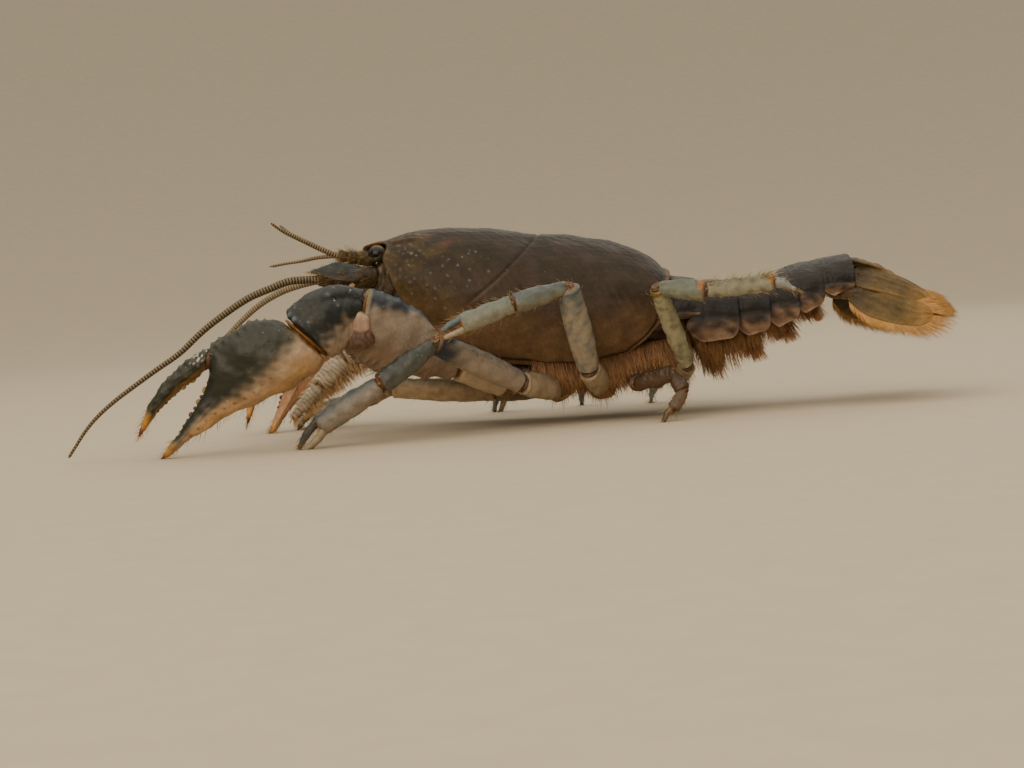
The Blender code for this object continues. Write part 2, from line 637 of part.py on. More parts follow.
def belly_fringe(side, material):
    """Brown bristles that hang between the leg roots."""
    draw = random.Random(SEED + side)
    rows = [*BELLY_STATIONS, *BELLY_REAR]
    first, last = BELLY_FRINGE_LOW[0][0], rows[-1][0] - GAP
    roots, tips = [], []
    for i in range(BELLY_FRINGE_LOCKS + 1):
        x = first + (last - first) * i / BELLY_FRINGE_LOCKS
        inset = side * BELLY_FRINGE_INSET * between(rows, x, 1)
        roots.append(Vector((x, inset, between(rows, x, 2) + BRISTLE_SUNK)))
    for a, b in zip(roots, roots[1:]):
        middle = (a + b) / 2
        x = middle.x + draw.uniform(-0.2, 0.5)
        low = between(BELLY_FRINGE_LOW, x, 1) + draw.uniform(-0.25, 0.35)
        tips.append(Vector((x, middle.y + side * BELLY_FRINGE_SPREAD, low)))
    return fringe("belly_fringe", roots, tips, 0.5, Vector((0, side, 0.45)).normalized(), material)


def tail_ring(segment, share, count=13):
    """A section of a tail ring: an arch, a pleuron hanging at each side, and a flat belly between."""
    x = segment["front"] + share * (segment["back"] - segment["front"])
    top = segment["top"][0] + share * (segment["top"][1] - segment["top"][0])
    half = segment["width"][0] + share * (segment["width"][1] - segment["width"][0])
    belly = segment["belly"]
    hang = math.sqrt(1 - abs(2 * share - 1) ** 5)
    tip = belly - PLEURON_LEAST - (belly - PLEURON_LEAST - segment["tip"]) * hang * segment["lobe"]
    ring = []
    for i in range(count):
        angle = math.pi * i / (count - 1)
        z = belly + 0.5 + (top - belly - 0.5) * math.sin(angle) ** 0.9
        ring.append(Vector((x, half * math.cos(angle), z)))
    edge = half * 0.98
    right = [(edge, tip), (edge - PLEURON_THICKNESS, tip), (half * 0.8, belly)]
    ring += [Vector((x, -y, z)) for y, z in right]
    ring += [Vector((x, y, z)) for y, z in reversed(right)]
    return ring


def build_tail(materials):
    for number, segment in enumerate(TAIL_SEGMENTS):
        rings = [tail_ring(segment, share) for share in TAIL_RING_SHARES]
        if number == 0:
            for point in rings[0]:
                point.x += SHELL_REAR_LEAN * (point.z - segment["top"][0])
            for inner in rings[1:-1]:
                for point in inner:
                    fade = 1 - (point.x - segment["front"]) / 2
                    point.x += SHELL_REAR_LEAN * (point.z - segment["top"][0]) * fade
        ring = loft(f"tail_segment_{number + 1}", rings, materials["tail"])
        if number in SWIMMERETS:
            fuse(ring, swimmerets(number, segment, materials["belly"]))


def swimmerets(number, segment, material):
    """A pair of leaf-like limbs under a tail ring, each with two blades that end in bristle locks."""
    hang, lean, locks = SWIMMERETS[number]
    draw = random.Random(SEED + number)
    length = segment["back"] - segment["front"]
    made = []
    for side in (LEFT, RIGHT):
        for inner, share, fewer in SWIMMERET_BLADES:
            count = locks - fewer
            root = Vector((segment["front"] + length / 2, side * inner, segment["belly"] + BRISTLE_SUNK))
            reach = (hang + BRISTLE_SUNK) * share
            spread = [2 * i / count - 1 for i in range(count + 1)]
            roots = [root + Vector((t * length * SWIMMERET_HALF_WIDTH, 0, 0)) for t in spread]
            tips = []
            for a, b, t in zip(roots, roots[1:], spread):
                way = Vector((lean / hang + (t + 1 / count) * 0.12, side * 0.1, -1)).normalized()
                tips.append((a + b) / 2 + way * reach * draw.uniform(0.84, 1.0))
            normal = Vector((0, side, 0.1)).normalized()
            made.append(fringe("swimmeret", roots, tips, 0.6, normal, material))
    return made


def blade_rows(blade, side):
    """Points along a blade of the tail fan, each with its ways on, across and up and its half width."""
    line = smooth_path([mirrored(p, side) for p in blade["line"]], 2)
    widths, last = blade["widths"], len(blade["widths"]) - 1
    lean = Vector((0, side * math.cos(blade["droop"]), -math.sin(blade["droop"])))
    rows = []
    for i, (point, way) in enumerate(zip(line, path_directions(line, Vector((1, 0, 0))))):
        across = (lean - way * lean.dot(way)).normalized()
        up = way.cross(across).normalized()
        place = i / (len(line) - 1) * last
        here = min(int(place), last - 1)
        half = widths[here] + (place - here) * (widths[here + 1] - widths[here])
        rows.append((point, way, across, up if up.z > 0 else -up, half))
    return rows


def fan_blade(name, blade, side, material):
    """A plate of the tail fan with raised ribs along it and a fringe of bristles round its end."""
    rows = blade_rows(blade, side)
    outline = [*FAN_RIDGES, (-1.0, -FAN_EDGE), (0.0, -FAN_EDGE * 1.4), (1.0, -FAN_EDGE)]
    rings = []
    for point, _, across, up, half in rows:
        rings.append([point + across * half * share + up * height for share, height in outline])
    body = loft(name, rings, material)
    return fuse(body, [fan_fringe(rows, blade, material)])


def side_station(row, edge):
    """A root on the side edge of a blade, with the way its bristles point and their length."""
    point, way, across, _, half = row
    place = point + across * edge * (half - BRISTLE_SUNK)
    return place, (way + across * edge * 0.6).normalized(), FAN_SIDE_FRINGE


def end_station(row, share):
    """A root on the end of a blade, at a share of its half width."""
    end, way, across, _, half = row
    place = end + across * half * share - way * BRISTLE_SUNK
    return place, (way + across * share * 0.5).normalized(), FAN_FRINGE


def fan_fringe(rows, blade, material):
    draw = random.Random(SEED + int(blade["line"][0][2] * 10))
    sides = rows[round(blade["fringe_from"] * (len(rows) - 1)):-1]
    stations = [side_station(row, 1) for row in sides]
    stations += [end_station(rows[-1], 0.9 - 1.8 * i / FAN_LOCKS) for i in range(FAN_LOCKS + 1)]
    if blade is TELSON:
        stations += [side_station(row, -1) for row in reversed(sides)]
    tips = []
    for (a, way_a, reach_a), (b, way_b, reach_b) in zip(stations, stations[1:]):
        reach = (reach_a + reach_b) / 2 * draw.uniform(0.88, 1.05) + BRISTLE_SUNK
        tips.append((a + b) / 2 + (way_a + way_b).normalized() * reach)
    up = rows[-1][3]
    return fringe("fan_fringe", [row[0] for row in stations], tips, 0.62, up, material)


def build_fan(materials):
    fan_blade("telson", TELSON, RIGHT, materials["fan"])
    for side in (LEFT, RIGHT):
        fan_blade("uropod_inner_" + SIDE_NAMES[side], INNER_UROPOD, side, materials["fan"])
        fan_blade("uropod_outer_" + SIDE_NAMES[side], OUTER_UROPOD, side, materials["fan"])


def trimmed(points, start_way, end_way):
    """The path with its ends drawn in by half a gap, where a way is given."""
    points = list(points)
    if start_way is not None:
        points[0] = points[0] + start_way * GAP / 2
    if end_way is not None:
        points[-1] = points[-1] - end_way * GAP / 2
    return points


def bisector(before, here, after):
    return ((here - before).normalized() + (after - here).normalized()).normalized()


def setback(radius, before, here, after):
    """How far from a bent joint a ring stays, so that it keeps to its own side of it."""
    bend = (here - before).angle(after - here)
    return radius * math.tan(bend / 2) + SPARE_LENGTH


def part_way(a, b, distance):
    return a + (b - a).normalized() * distance


def build_leg(side, number, leg, materials):
    coxa, hip, knee, wrist, finger_root, tip = [Vector(p) for p in leg["joints"]]
    thigh, carpus, palm = leg["thick"]
    name = f"leg_{SIDE_NAMES[side]}_{number}"
    outward = Vector((0, side, 0.2))
    _, root_way = leg_root(coxa, hip)
    knee_way = bisector(hip, knee, wrist)
    length = (knee - hip).length
    near = max(0.2 * length, setback(thigh, coxa, hip, knee))
    far = length - max(0.1 * length, setback(0.8 * thigh, hip, knee, wrist))
    thigh_points = [part_way(hip, knee, distance) for distance in (near, (near + far) / 2, far)]
    points = [coxa, coxa.lerp(hip, 0.5), hip, *thigh_points, knee]
    sizes = [(thigh * share, thigh * share) for share in THIGH_SHAPE]
    tube(name + "_thigh", trimmed(points, root_way, knee_way), sizes, materials["limb"], outward,
         start=root_way, end=knee_way)
    end_way = (finger_root - wrist).normalized()
    length = (wrist - knee).length
    near = max(0.25 * length, setback(0.92 * carpus, hip, knee, wrist))
    far = length - max(0.2 * length, setback(carpus, knee, wrist, finger_root))
    points = [knee, part_way(knee, wrist, near), part_way(knee, wrist, far), wrist,
              wrist.lerp(finger_root, 0.2), wrist.lerp(finger_root, 0.6), finger_root]
    sizes = [(carpus * share,) * 2 for share in CARPUS_SHAPE] + [(palm * share,) * 2 for share in PALM_SHAPE]
    points = trimmed(points, knee_way, None)
    ways = path_directions(points, knee_way, end_way)
    rings = limb_rings(points, sizes, outward, 8, ways)
    spread, through = frame_along(end_way, outward)
    spread = spread if spread.z < 0 else -spread
    if leg["pincer"]:
        for centre, across, up in pincer_finger(finger_root, tip, spread, palm, 0.1):
            rings.append(matched(oval_ring(centre, spread, through, across, up, 8), rings[-1]))
        toe_rings = [oval_ring(centre, spread, through, across, up, 8)
                     for centre, across, up in pincer_finger(finger_root, tip, -spread, palm, 0.1 + GAP)]
    else:
        base = finger_root + end_way * GAP
        toe_points = [base, base.lerp(tip, 0.35), base.lerp(tip, 0.75), tip]
        toe_sizes = [(size, size) for size in (palm * 0.66, palm * 0.55, 0.36, TOE_TIP_RADIUS)]
        toe_rings = limb_rings(toe_points, toe_sizes, outward, 6, path_directions(toe_points, end_way))
    shin = loft(name + "_shin", rings, materials["limb"])
    toe = loft(name + "_toe", toe_rings, materials["limb"])
    if tip.z < 0:
        for piece in (shin, toe):
            if min(v.co.z for v in piece.data.vertices) < 0:
                stand_on_floor(piece)


def pincer_finger(root, tip, spread, palm, start):
    """Centres and half widths along one finger of a leg's pincer."""
    way = (tip - root).normalized()
    reach = (tip - root).length
    return (
        (root + way * start + spread * palm * 0.5, palm * 0.36, palm * 0.55),
        (root + way * reach * 0.55 + spread * palm * 0.45, palm * 0.31, palm * 0.36),
        (tip + spread * 0.3, 0.2, 0.22),
    )


def hand_matrix(claw):
    """The hand's own frame: along the fixed finger, towards the thumb, and through its thickness."""
    wrist, tip = Vector(claw["wrist_end"]), Vector(claw["finger_tip"])
    along = (tip - wrist).normalized()
    thumb = Vector(claw["thumb_way"])
    thumb = (thumb - along * thumb.dot(along)).normalized()
    turned = Matrix((along, thumb, along.cross(thumb))).transposed().to_4x4()
    return Matrix.Translation(wrist) @ turned @ Matrix.Scale(claw["scale"], 4)


def hand_ring(matrix, u, low, high, thick, count=12):
    ring = []
    for i in range(count):
        angle = 2 * math.pi * i / count
        v = (low + high) / 2 + (high - low) / 2 * math.cos(angle)
        ring.append(matrix @ Vector((u, v, thick * math.sin(angle))))
    return ring


def tooth(matrix, u, v, up, material):
    """A blunt five-sided tooth that points towards the thumb or away from it."""
    rings = []
    for height, share in TOOTH_RINGS:
        radius = TOOTH_RADIUS * share
        ring = []
        for i in range(5):
            angle = 2 * math.pi * i / 5
            along, through = radius * math.cos(angle), radius * math.sin(angle)
            ring.append(matrix @ Vector((u + along, v + up * TOOTH_RADIUS * height, through)))
        rings.append(ring)
    return loft("tooth", rings, material)


def build_claw(side, claw, materials):
    name = "claw_" + SIDE_NAMES[side]
    matrix = hand_matrix(claw)
    coxa, elbow = Vector(claw["coxa"]), Vector(claw["elbow"])
    arm_end, wrist_end = Vector(claw["arm_end"]), Vector(claw["wrist_end"])
    outward = Vector((0, side, 0.0))
    arm_plane = Vector(claw["arm_plane"]).normalized()
    wrist_plane = Vector(claw["wrist_plane"]).normalized()
    _, root_way = leg_root(coxa, elbow)
    points = [coxa, coxa.lerp(elbow, 0.55), *(elbow.lerp(arm_end, share) for share, _, _ in CLAW_ARM_SIZES)]
    sizes = [(CLAW_ROOT_RADIUS,) * 2] * 2 + [(high, wide) for _, wide, high in CLAW_ARM_SIZES]
    tube(name + "_arm", trimmed(points, root_way, arm_plane), sizes, materials["claw"], outward,
         sides=12, start=root_way, end=arm_plane)
    points, ways = [], []
    for share, _, _ in CLAW_WRIST_SIZES:
        rise = Vector((0, 0, WRIST_RISE * math.sin(math.pi * share)))
        points.append(arm_end.lerp(wrist_end, share) + rise)
        ways.append(arm_plane.lerp(wrist_plane, share).normalized())
    sizes = [(high, wide) for _, wide, high in CLAW_WRIST_SIZES]
    tube(name + "_wrist", trimmed(points, arm_plane, wrist_plane), sizes, materials["claw"], outward,
         sides=12, ways=ways)
    rings = [hand_ring(matrix, *row) for row in HAND_STATIONS]
    along = (matrix.to_3x3() @ Vector((1, 0, 0))).normalized()
    face = wrist_end + wrist_plane * GAP / 2
    rings[0] = slid_to_plane(rings[0], along, face, wrist_plane)
    second = face + along * HAND_STATIONS[1][0] * claw["scale"]
    rings[1] = slid_to_plane(rings[1], along, second, wrist_plane, 0.5)
    hand = loft(name + "_hand", rings, materials["claw"])
    fuse(hand, [tooth(matrix, u, v, 1, materials["claw"]) for u, v in HAND_TEETH])
    if min(v.co.z for v in hand.data.vertices) < 0:
        stand_on_floor(hand)
    build_thumb(name + "_thumb", matrix, materials)


def build_thumb(name, matrix, materials):
    turn = matrix.to_3x3()
    points = [matrix @ Vector((u, v, 0)) for u, v in THUMB_LINE]
    start = (turn @ Vector((*THUMB_BASE_NORMAL, 0))).normalized()
    through = (turn @ Vector((0, 0, 1))).normalized()
    scale = turn.col[0].length
    sizes = [(across * scale, up * scale) for across, up in THUMB_SIZES]
    thumb = tube(name, points, sizes, materials["claw"], through, sides=10, start=start)
    fuse(thumb, [tooth(matrix, u, v, -1, materials["claw"]) for u, v in THUMB_TEETH])


def build_antenna(side, materials):
    name = SIDE_NAMES[side]
    place = mirrored(ANTENNA_SOCKET, side)
    root, middle, end = [place + mirrored(step, side) for step in ANTENNA_BASE]
    way = (middle - root).normalized()
    points = [root + way * GAP / 2, root.lerp(middle, 0.6), middle, middle.lerp(end, 0.5), end]
    sizes = [(size, size) for size in ANTENNA_BASE_RADII]
    base = tube("antenna_base_" + name, points, sizes, materials["feeler"], Vector((0, 0, 1)))
    scale_root = root + mirrored(ANTENNA_SCALE_ROOT, side)
    scale_tip = end + mirrored(ANTENNA_SCALE_TIP, side)
    spine = [scale_root.lerp(scale_tip, share) for share, _, _ in ANTENNA_SCALE]
    wide = [(half, thick) for _, half, thick in ANTENNA_SCALE]
    fuse(base, [tube("scale", spine, wide, materials["feeler"], Vector((0, side * 0.75, 0.65)), sides=6)])
    end_way = (end - middle).normalized()
    whip = smooth_path([end + end_way * GAP, *ANTENNA_WHIPS[side]], 2)
    last = len(whip) - 1
    sizes = [(WHIP_ROOT - (WHIP_ROOT - WHIP_TIP) * (i / last) ** 1.3,) * 2 for i in range(last + 1)]
    tube("antenna_whip_" + name, whip, sizes, materials["feeler"], Vector((0, 0, 1)), sides=6)


def build_antennule(side, materials):
    place = mirrored(ANTENNULE_SOCKET, side)
    stem_end = place + mirrored(ANTENNULE_STEM, side)
    way = (stem_end - place).normalized()
    points = [place.lerp(stem_end, share) for share, _ in ANTENNULE_RINGS]
    points[0] = place + way * GAP / 2
    sizes = [(size, size) for _, size in ANTENNULE_RINGS]
    base = tube("antennule_" + SIDE_NAMES[side], points, sizes, materials["feeler"], Vector((0, 0, 1)))
    pieces = []
    for steps, thick in ((ANTENNULE_OUTER, 0.3), (ANTENNULE_INNER, 0.27)):
        line = smooth_path([stem_end - way * 0.6, *(stem_end + mirrored(step, side) for step in steps)], 2)
        last = len(line) - 1
        sizes = [(thick - (thick - FLAGELLUM_TIP) * i / last,) * 2 for i in range(last + 1)]
        pieces.append(tube("flagellum", line, sizes, materials["feeler"], Vector((0, 0, 1)), sides=5))
    fuse(base, pieces)


def maxilliped_way(side):
    return (mirrored(MAXILLIPED[1], side) - mirrored(MAXILLIPED[0], side)).normalized()


def build_maxilliped(side, materials):
    points = [mirrored(p, side) for p in MAXILLIPED]
    start = maxilliped_way(side)
    points[0] = points[0] + start * GAP / 2
    outward = Vector((0, side, 0.0))
    name = "maxilliped_" + SIDE_NAMES[side]
    limb = tube(name, points, MAXILLIPED_SIZES, materials["mouth"], outward, start=start)
    draw = random.Random(SEED + side)
    line = smooth_path(points[3:], 3)
    ways = path_directions(line)
    combs = []
    for edge, reach in ((1, MAXILLIPED_BACK_REACH), (-1, MAXILLIPED_FRONT_REACH)):
        tips = []
        for a, b, way in zip(line, line[1:], ways):
            back = way.cross(outward).normalized()
            back = (back if back.x > 0 else -back) * edge
            here = reach * (1 - COMB_TAPER * len(tips) / len(line))
            tips.append((a + b) / 2 + (back + way * 0.45).normalized() * here * draw.uniform(0.88, 1.05))
        normal = ways[0].cross(ways[0].cross(outward)).normalized()
        combs.append(fringe("comb", line, tips, 0.5, normal, materials["mouth"]))
    fuse(limb, combs)


def centre_on_origin():
    """Moves everything by one empty so that the origin is under the middle of the box, on the floor."""
    objects = [obj for obj in bpy.context.scene.objects if obj.type == "MESH"]
    corners = [v.co for obj in objects for v in obj.data.vertices]
    low = [min(c[k] for c in corners) for k in range(3)]
    high = [max(c[k] for c in corners) for k in range(3)]
    anchor = bpy.data.objects.new("anchor", None)
    bpy.context.scene.collection.objects.link(anchor)
    for obj in objects:
        obj.parent = anchor
    anchor.location = (-(low[0] + high[0]) / 2, -(low[1] + high[1]) / 2, 0.0)


def shade_round():
    for obj in bpy.context.scene.objects:
        if obj.type == "MESH":
            obj.data.shade_smooth()
            obj.data.set_sharp_from_angle(angle=math.radians(SHARP_ANGLE))


def main():
    clear_scene()
    materials = make_materials()
    build_shells(materials)
    build_eyes(materials)
    build_belly(materials)
    build_tail(materials)
    build_fan(materials)
    for side, claw in CLAWS.items():
        build_claw(side, claw, materials)
    for (side, number), leg in LEGS.items():
        build_leg(side, number, leg, materials)
    for side in (LEFT, RIGHT):
        build_antenna(side, materials)
        build_antennule(side, materials)
        build_maxilliped(side, materials)
    shade_round()
    centre_on_origin()


main()
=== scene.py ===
import math
import bpy
import numpy as np
from mathutils import Matrix, Vector


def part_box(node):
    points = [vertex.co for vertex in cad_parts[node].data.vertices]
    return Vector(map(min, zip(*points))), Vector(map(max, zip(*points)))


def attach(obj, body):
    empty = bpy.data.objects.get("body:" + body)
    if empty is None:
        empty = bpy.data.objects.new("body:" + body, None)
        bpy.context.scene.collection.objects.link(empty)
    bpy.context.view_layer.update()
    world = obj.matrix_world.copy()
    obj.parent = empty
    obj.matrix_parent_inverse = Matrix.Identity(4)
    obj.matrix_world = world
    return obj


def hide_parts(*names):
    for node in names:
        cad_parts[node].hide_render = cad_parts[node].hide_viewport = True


# A burrowing crayfish on a pale studio floor. Shapes are worked out in millimetres on the animal's own
# axes: x runs from head to tail, y to the animal's right, z up, and y = 0 is its middle plane.

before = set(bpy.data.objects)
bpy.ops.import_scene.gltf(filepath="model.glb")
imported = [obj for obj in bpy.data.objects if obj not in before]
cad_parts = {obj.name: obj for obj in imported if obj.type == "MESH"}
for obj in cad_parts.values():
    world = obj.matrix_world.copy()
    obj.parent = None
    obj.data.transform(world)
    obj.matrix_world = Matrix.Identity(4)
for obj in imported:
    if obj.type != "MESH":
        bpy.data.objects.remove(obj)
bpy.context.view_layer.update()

millimetre = 0.001
shellRearTop = 16.3     # hind end of the back shell on the animal's own axes
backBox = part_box("thorax_shell")
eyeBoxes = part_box("eye_left"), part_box("eye_right")
animalPlace = np.array((
    backBox[1].x / millimetre - shellRearTop,
    (eyeBoxes[0][0].y + eyeBoxes[1][1].y) / 2 / millimetre,
    0.0,
))
sides = {"left": -1, "right": 1}
lowestLevel = 0.01      # nothing reaches below this, so that all stays just above the floor


# Shapes

def tint(code):
    # a colour as a painter writes it, turned into linear light
    parts = np.array([int(code[i:i + 2], 16) / 255 for i in (0, 2, 4)])
    return np.where(parts <= 0.04045, parts / 12.92, ((parts + 0.055) / 1.055) ** 2.4)


def unit(ways):
    # the same direction with length 1
    return ways / np.maximum(np.linalg.norm(ways, axis=-1, keepdims=True), 1e-9)


def ramp(value, low, high):
    # 0 at low, 1 at high, eased at both ends
    share = np.clip((value - low) / (high - low), 0, 1)
    return share * share * (3 - 2 * share)


def hump(value, width):
    # a bell round 0
    return np.exp(-(value / width) ** 2)


def beads(run, pitch, power=3):
    # 1 on each bead of a row and 0 between two: (0.5 + 0.5 cos(2 pi run / pitch)) ** power
    return (0.5 + 0.5 * np.cos(2 * np.pi * run / pitch)) ** power


def roundEnd(away, radius, limit=0.985):
    # 1 far from an end, and down to nearly 0 at it along a quarter circle of the radius
    return np.sqrt(1 - np.clip(1 - away / radius, 0, limit) ** 2)


def around(columns):
    # angles spread evenly round a ring
    return np.linspace(0, 2 * np.pi, columns, endpoint=False)


def ovalOutline(columns, squareness):
    # cosine and sine round an oval, pushed into its corners: sign * |wave| ** (2 / squareness)
    angle = around(columns)
    return [np.sign(wave) * np.abs(wave) ** (2 / squareness) for wave in (np.cos(angle), np.sin(angle))]


def easedTable(keys, values, at):
    # cubic curve through a table that never swings past its own values, kept level beyond its ends
    keys, values = np.asarray(keys, float), np.asarray(values, float)
    at = np.clip(at, keys[0], keys[-1])
    step = np.diff(keys)
    rise = np.diff(values) / step
    both = rise[:-1] * rise[1:]
    total = np.where(np.abs(rise[:-1] + rise[1:]) < 1e-12, 1, rise[:-1] + rise[1:])
    slope = np.concatenate((rise[:1], np.where(both > 0, 2 * both / total, 0), rise[-1:]))
    here = np.clip(np.searchsorted(keys, at, side="right") - 1, 0, len(keys) - 2)
    wide = step[here]
    t = (at - keys[here]) / wide
    start, end = values[here], values[here + 1]
    return (start * (1 + 2 * t) * (1 - t) ** 2 + slope[here] * wide * t * (1 - t) ** 2
            + end * t * t * (3 - 2 * t) + slope[here + 1] * wide * t * t * (t - 1))


def pathThrough(knots, count, spacing=None):
    # a smooth curve through the knots, with its points shared out evenly by length or by given shares
    knots = np.asarray(knots, float)
    padded = np.concatenate((2 * knots[:1] - knots[1:2], knots, 2 * knots[-1:] - knots[-2:-1]))
    a, b, c, d = padded[:-3], padded[1:-2], padded[2:-1], padded[3:]
    t = np.linspace(0, 1, 24, endpoint=False)[None, :, None]
    a, b, c, d = (part[:, None, :] for part in (a, b, c, d))
    fine = (2 * b + (c - a) * t + (2 * a - 5 * b + 4 * c - d) * t ** 2 + (3 * b - a - 3 * c + d) * t ** 3) / 2
    fine = np.concatenate((fine.reshape(-1, 3), knots[-1:]))
    run = np.concatenate(([0], np.cumsum(np.linalg.norm(np.diff(fine, axis=0), axis=1))))
    at = run[-1] * (np.linspace(0, 1, count) if spacing is None else np.asarray(spacing))
    return np.stack([np.interp(at, run, fine[:, k]) for k in range(3)], 1)


def framesAlong(points, hint, ways=None):
    # the way on, the way across and the way up at each point of a path
    along = unit(np.gradient(points, axis=0)) if ways is None else unit(ways)
    across = unit(np.cross(along, np.broadcast_to(hint, along.shape)))
    return along, across, np.cross(across, along)


def ovalSweep(points, hint, halfAcross, halfUp, columns, squareness=2.0, ways=None):
    # rings along a path: each an oval, or squarer where squareness is over 2
    along, across, up = framesAlong(points, hint, ways)
    wide, high = ovalOutline(columns, squareness)
    halfAcross = np.broadcast_to(halfAcross, len(points))[:, None, None]
    halfUp = np.broadcast_to(halfUp, len(points))[:, None, None]
    return (points[:, None] + across[:, None] * halfAcross * wide[None, :, None]
            + up[:, None] * halfUp * high[None, :, None])


def normalsOf(grid, wrapped=True):
    # the way out of a surface: across its rows and its columns at once, turned away from the rows' middles
    down = np.gradient(grid, axis=0)
    over = (np.roll(grid, -1, 1) - np.roll(grid, 1, 1)) / 2 if wrapped else np.gradient(grid, axis=1)
    normals = unit(np.cross(down, over))
    outwards = np.sum(normals * (grid - grid.mean(axis=1, keepdims=True)))
    return normals if outwards > 0 else -normals


def unevenness(points, size, seed, waves=9):
    # sines that run in random directions, each about size long, added up: smooth lumps round 0
    draw = np.random.default_rng(seed)
    ways = unit(draw.normal(size=(waves, 3))) * draw.uniform(0.7, 1.5, (waves, 1)) * 2 * np.pi / size
    return np.sin(points @ ways.T + draw.uniform(0, 2 * np.pi, waves)).sum(-1) / math.sqrt(waves / 2)


def layer(paint, share, code):
    # lays a colour over a paint, by a share between 0 and 1 at each point
    return paint + (tint(code) - paint) * np.clip(share, 0, 1)[..., None]


def painted(grid, code, *coats):
    # a base colour with coats over it, each the share that it covers and its colour
    paint = np.ones(grid.shape) * tint(code)
    for share, coat in coats:
        paint = layer(paint, share, coat)
    return paint


def closedSheet(points, paint, ends="pole", shine=0.0, poles=None):
    # one closed surface from a grid whose columns wrap round: its first and last rows close in a pole,
    # or as a strip between the two halves of the row
    points = np.asarray(points, float)
    rows, columns = points.shape[:2]
    index = np.arange(rows * columns).reshape(rows, columns)
    beside = np.roll(index, -1, axis=1)
    quads = np.stack((index[:-1], beside[:-1], beside[1:], index[1:]), -1).reshape(-1, 4)
    verts = points.reshape(-1, 3)
    colours = np.broadcast_to(paint, points.shape).reshape(-1, 3)
    gloss = np.broadcast_to(shine, (rows, columns)).reshape(-1)
    tris = np.empty((0, 3), int)
    if ends == "strip":
        for row, step in ((index[0], -1), (index[-1], 1)):
            left, right = row[:columns // 2], row[::-1][:columns // 2]
            cap = np.stack((left[:-1], left[1:], right[1:], right[:-1]), -1)
            quads = np.concatenate((quads, cap[:, ::step]))
    else:
        near, far = poles if poles is not None else (points[0].mean(0), points[-1].mean(0))
        verts = np.concatenate((verts, (near, far)))
        colours = np.concatenate((colours, colours[:1], colours[-1:]))
        gloss = np.concatenate((gloss, gloss[:1], gloss[-1:]))
        start = np.stack((beside[0], index[0], np.full(columns, rows * columns)), -1)
        stop = np.stack((index[-1], beside[-1], np.full(columns, rows * columns + 1)), -1)
        tris = np.concatenate((start, stop))
    halves = np.concatenate((quads[:, (0, 1, 2)], quads[:, (0, 2, 3)], tris))
    a, b, c = (verts[halves[:, k]] for k in range(3))
    if np.sum(a * np.cross(b, c)) < 0:
        quads, tris = quads[:, ::-1], tris[:, ::-1]
    return dict(verts=verts, quads=quads, tris=tris, paint=colours, shine=gloss)


def bristleSheet(roots, ways, lengths, thick, rootPaint, tipPaint, uv, bends=0.0, seed=1):
    # thin three-sided spikes that end in a point: middle line = root + way * run + bend * run * share
    count = len(roots)
    share = np.array((0.0, 0.34, 0.7, 1.0))
    corners = np.arange(3) * 2 * np.pi / 3
    lean = np.cross(ways, np.roll(ways, 1, axis=1) + (0.31, -0.17, 0.52))
    side = unit(lean)
    other = np.cross(ways, side)
    lengths = np.broadcast_to(lengths, count)[:, None, None]
    bends = np.broadcast_to(bends, (count, 3))[:, None]
    middle = roots[:, None] + (ways[:, None] + bends * share[:, None]) * lengths * share[:, None]
    radius = np.broadcast_to(thick, count)[:, None] * (1 - share[:3] * 0.72)
    turned = np.cos(corners)[:, None] * side[:, None, None] + np.sin(corners)[:, None] * other[:, None, None]
    rings = middle[:, :3, None] + radius[..., None, None] * turned
    verts = np.concatenate((rings.reshape(count, 9, 3), middle[:, 3:]), axis=1)
    verts[..., 2] = np.maximum(verts[..., 2], lowestLevel)
    around = np.array([(k * 3 + j, k * 3 + (j + 1) % 3, k * 3 + 3 + (j + 1) % 3, k * 3 + 3 + j)
                       for k in range(2) for j in range(3)])
    ends = np.array([(6, 7, 9), (7, 8, 9), (8, 6, 9), (2, 1, 0)])
    first = (np.arange(count) * 10)[:, None, None]
    run = np.append(np.repeat(share[:3], 3), 1.0)[None, :, None]
    draw = np.random.default_rng(seed)
    paint = np.broadcast_to(rootPaint, (count, 3))[:, None] * (1 - run) \
        + np.broadcast_to(tipPaint, (count, 3))[:, None] * run
    paint = paint * draw.uniform(0.75, 1.25, (count, 1, 1))
    patch = np.stack((np.append(np.tile((0, 0.5, 1), 3), 0.5), np.append(np.repeat(share[:3], 3), 1.0)), -1)
    return dict(verts=verts.reshape(-1, 3), quads=(around[None] + first).reshape(-1, 4),
                tris=(ends[None] + first).reshape(-1, 3), paint=paint.reshape(-1, 3),
                shine=np.zeros(count * 10), uv=(uv[:, None] + patch[None] * tuftPatch).reshape(-1, 2))


tuftPatch = 0.003       # size of one bristle's own patch on the unwrap of the skin


def rootsOn(grid, weight, count, draw):
    # random places on a surface, more of them where weight is high, with the way out and the way on there
    normals = normalsOf(grid)
    along = unit(np.gradient(grid, axis=0))
    weight = np.broadcast_to(weight, grid.shape[:2]).ravel()
    pick = draw.choice(weight.size, count, p=weight / weight.sum())
    row, column = np.divmod(pick, grid.shape[1])
    uv = np.stack((column / grid.shape[1], row / grid.shape[0]), -1)
    return grid.reshape(-1, 3)[pick], normals.reshape(-1, 3)[pick], along.reshape(-1, 3)[pick], uv


def cell(uv, number, across):
    # the square of a host on the shared unwrap, with across squares in a row
    return (uv * 0.94 + 0.03 + np.array((number % across, number // across))) / across


def addObject(name, data):
    # puts new data into the scene as an object
    made = bpy.data.objects.new(name, data)
    bpy.context.scene.collection.objects.link(made)
    return made


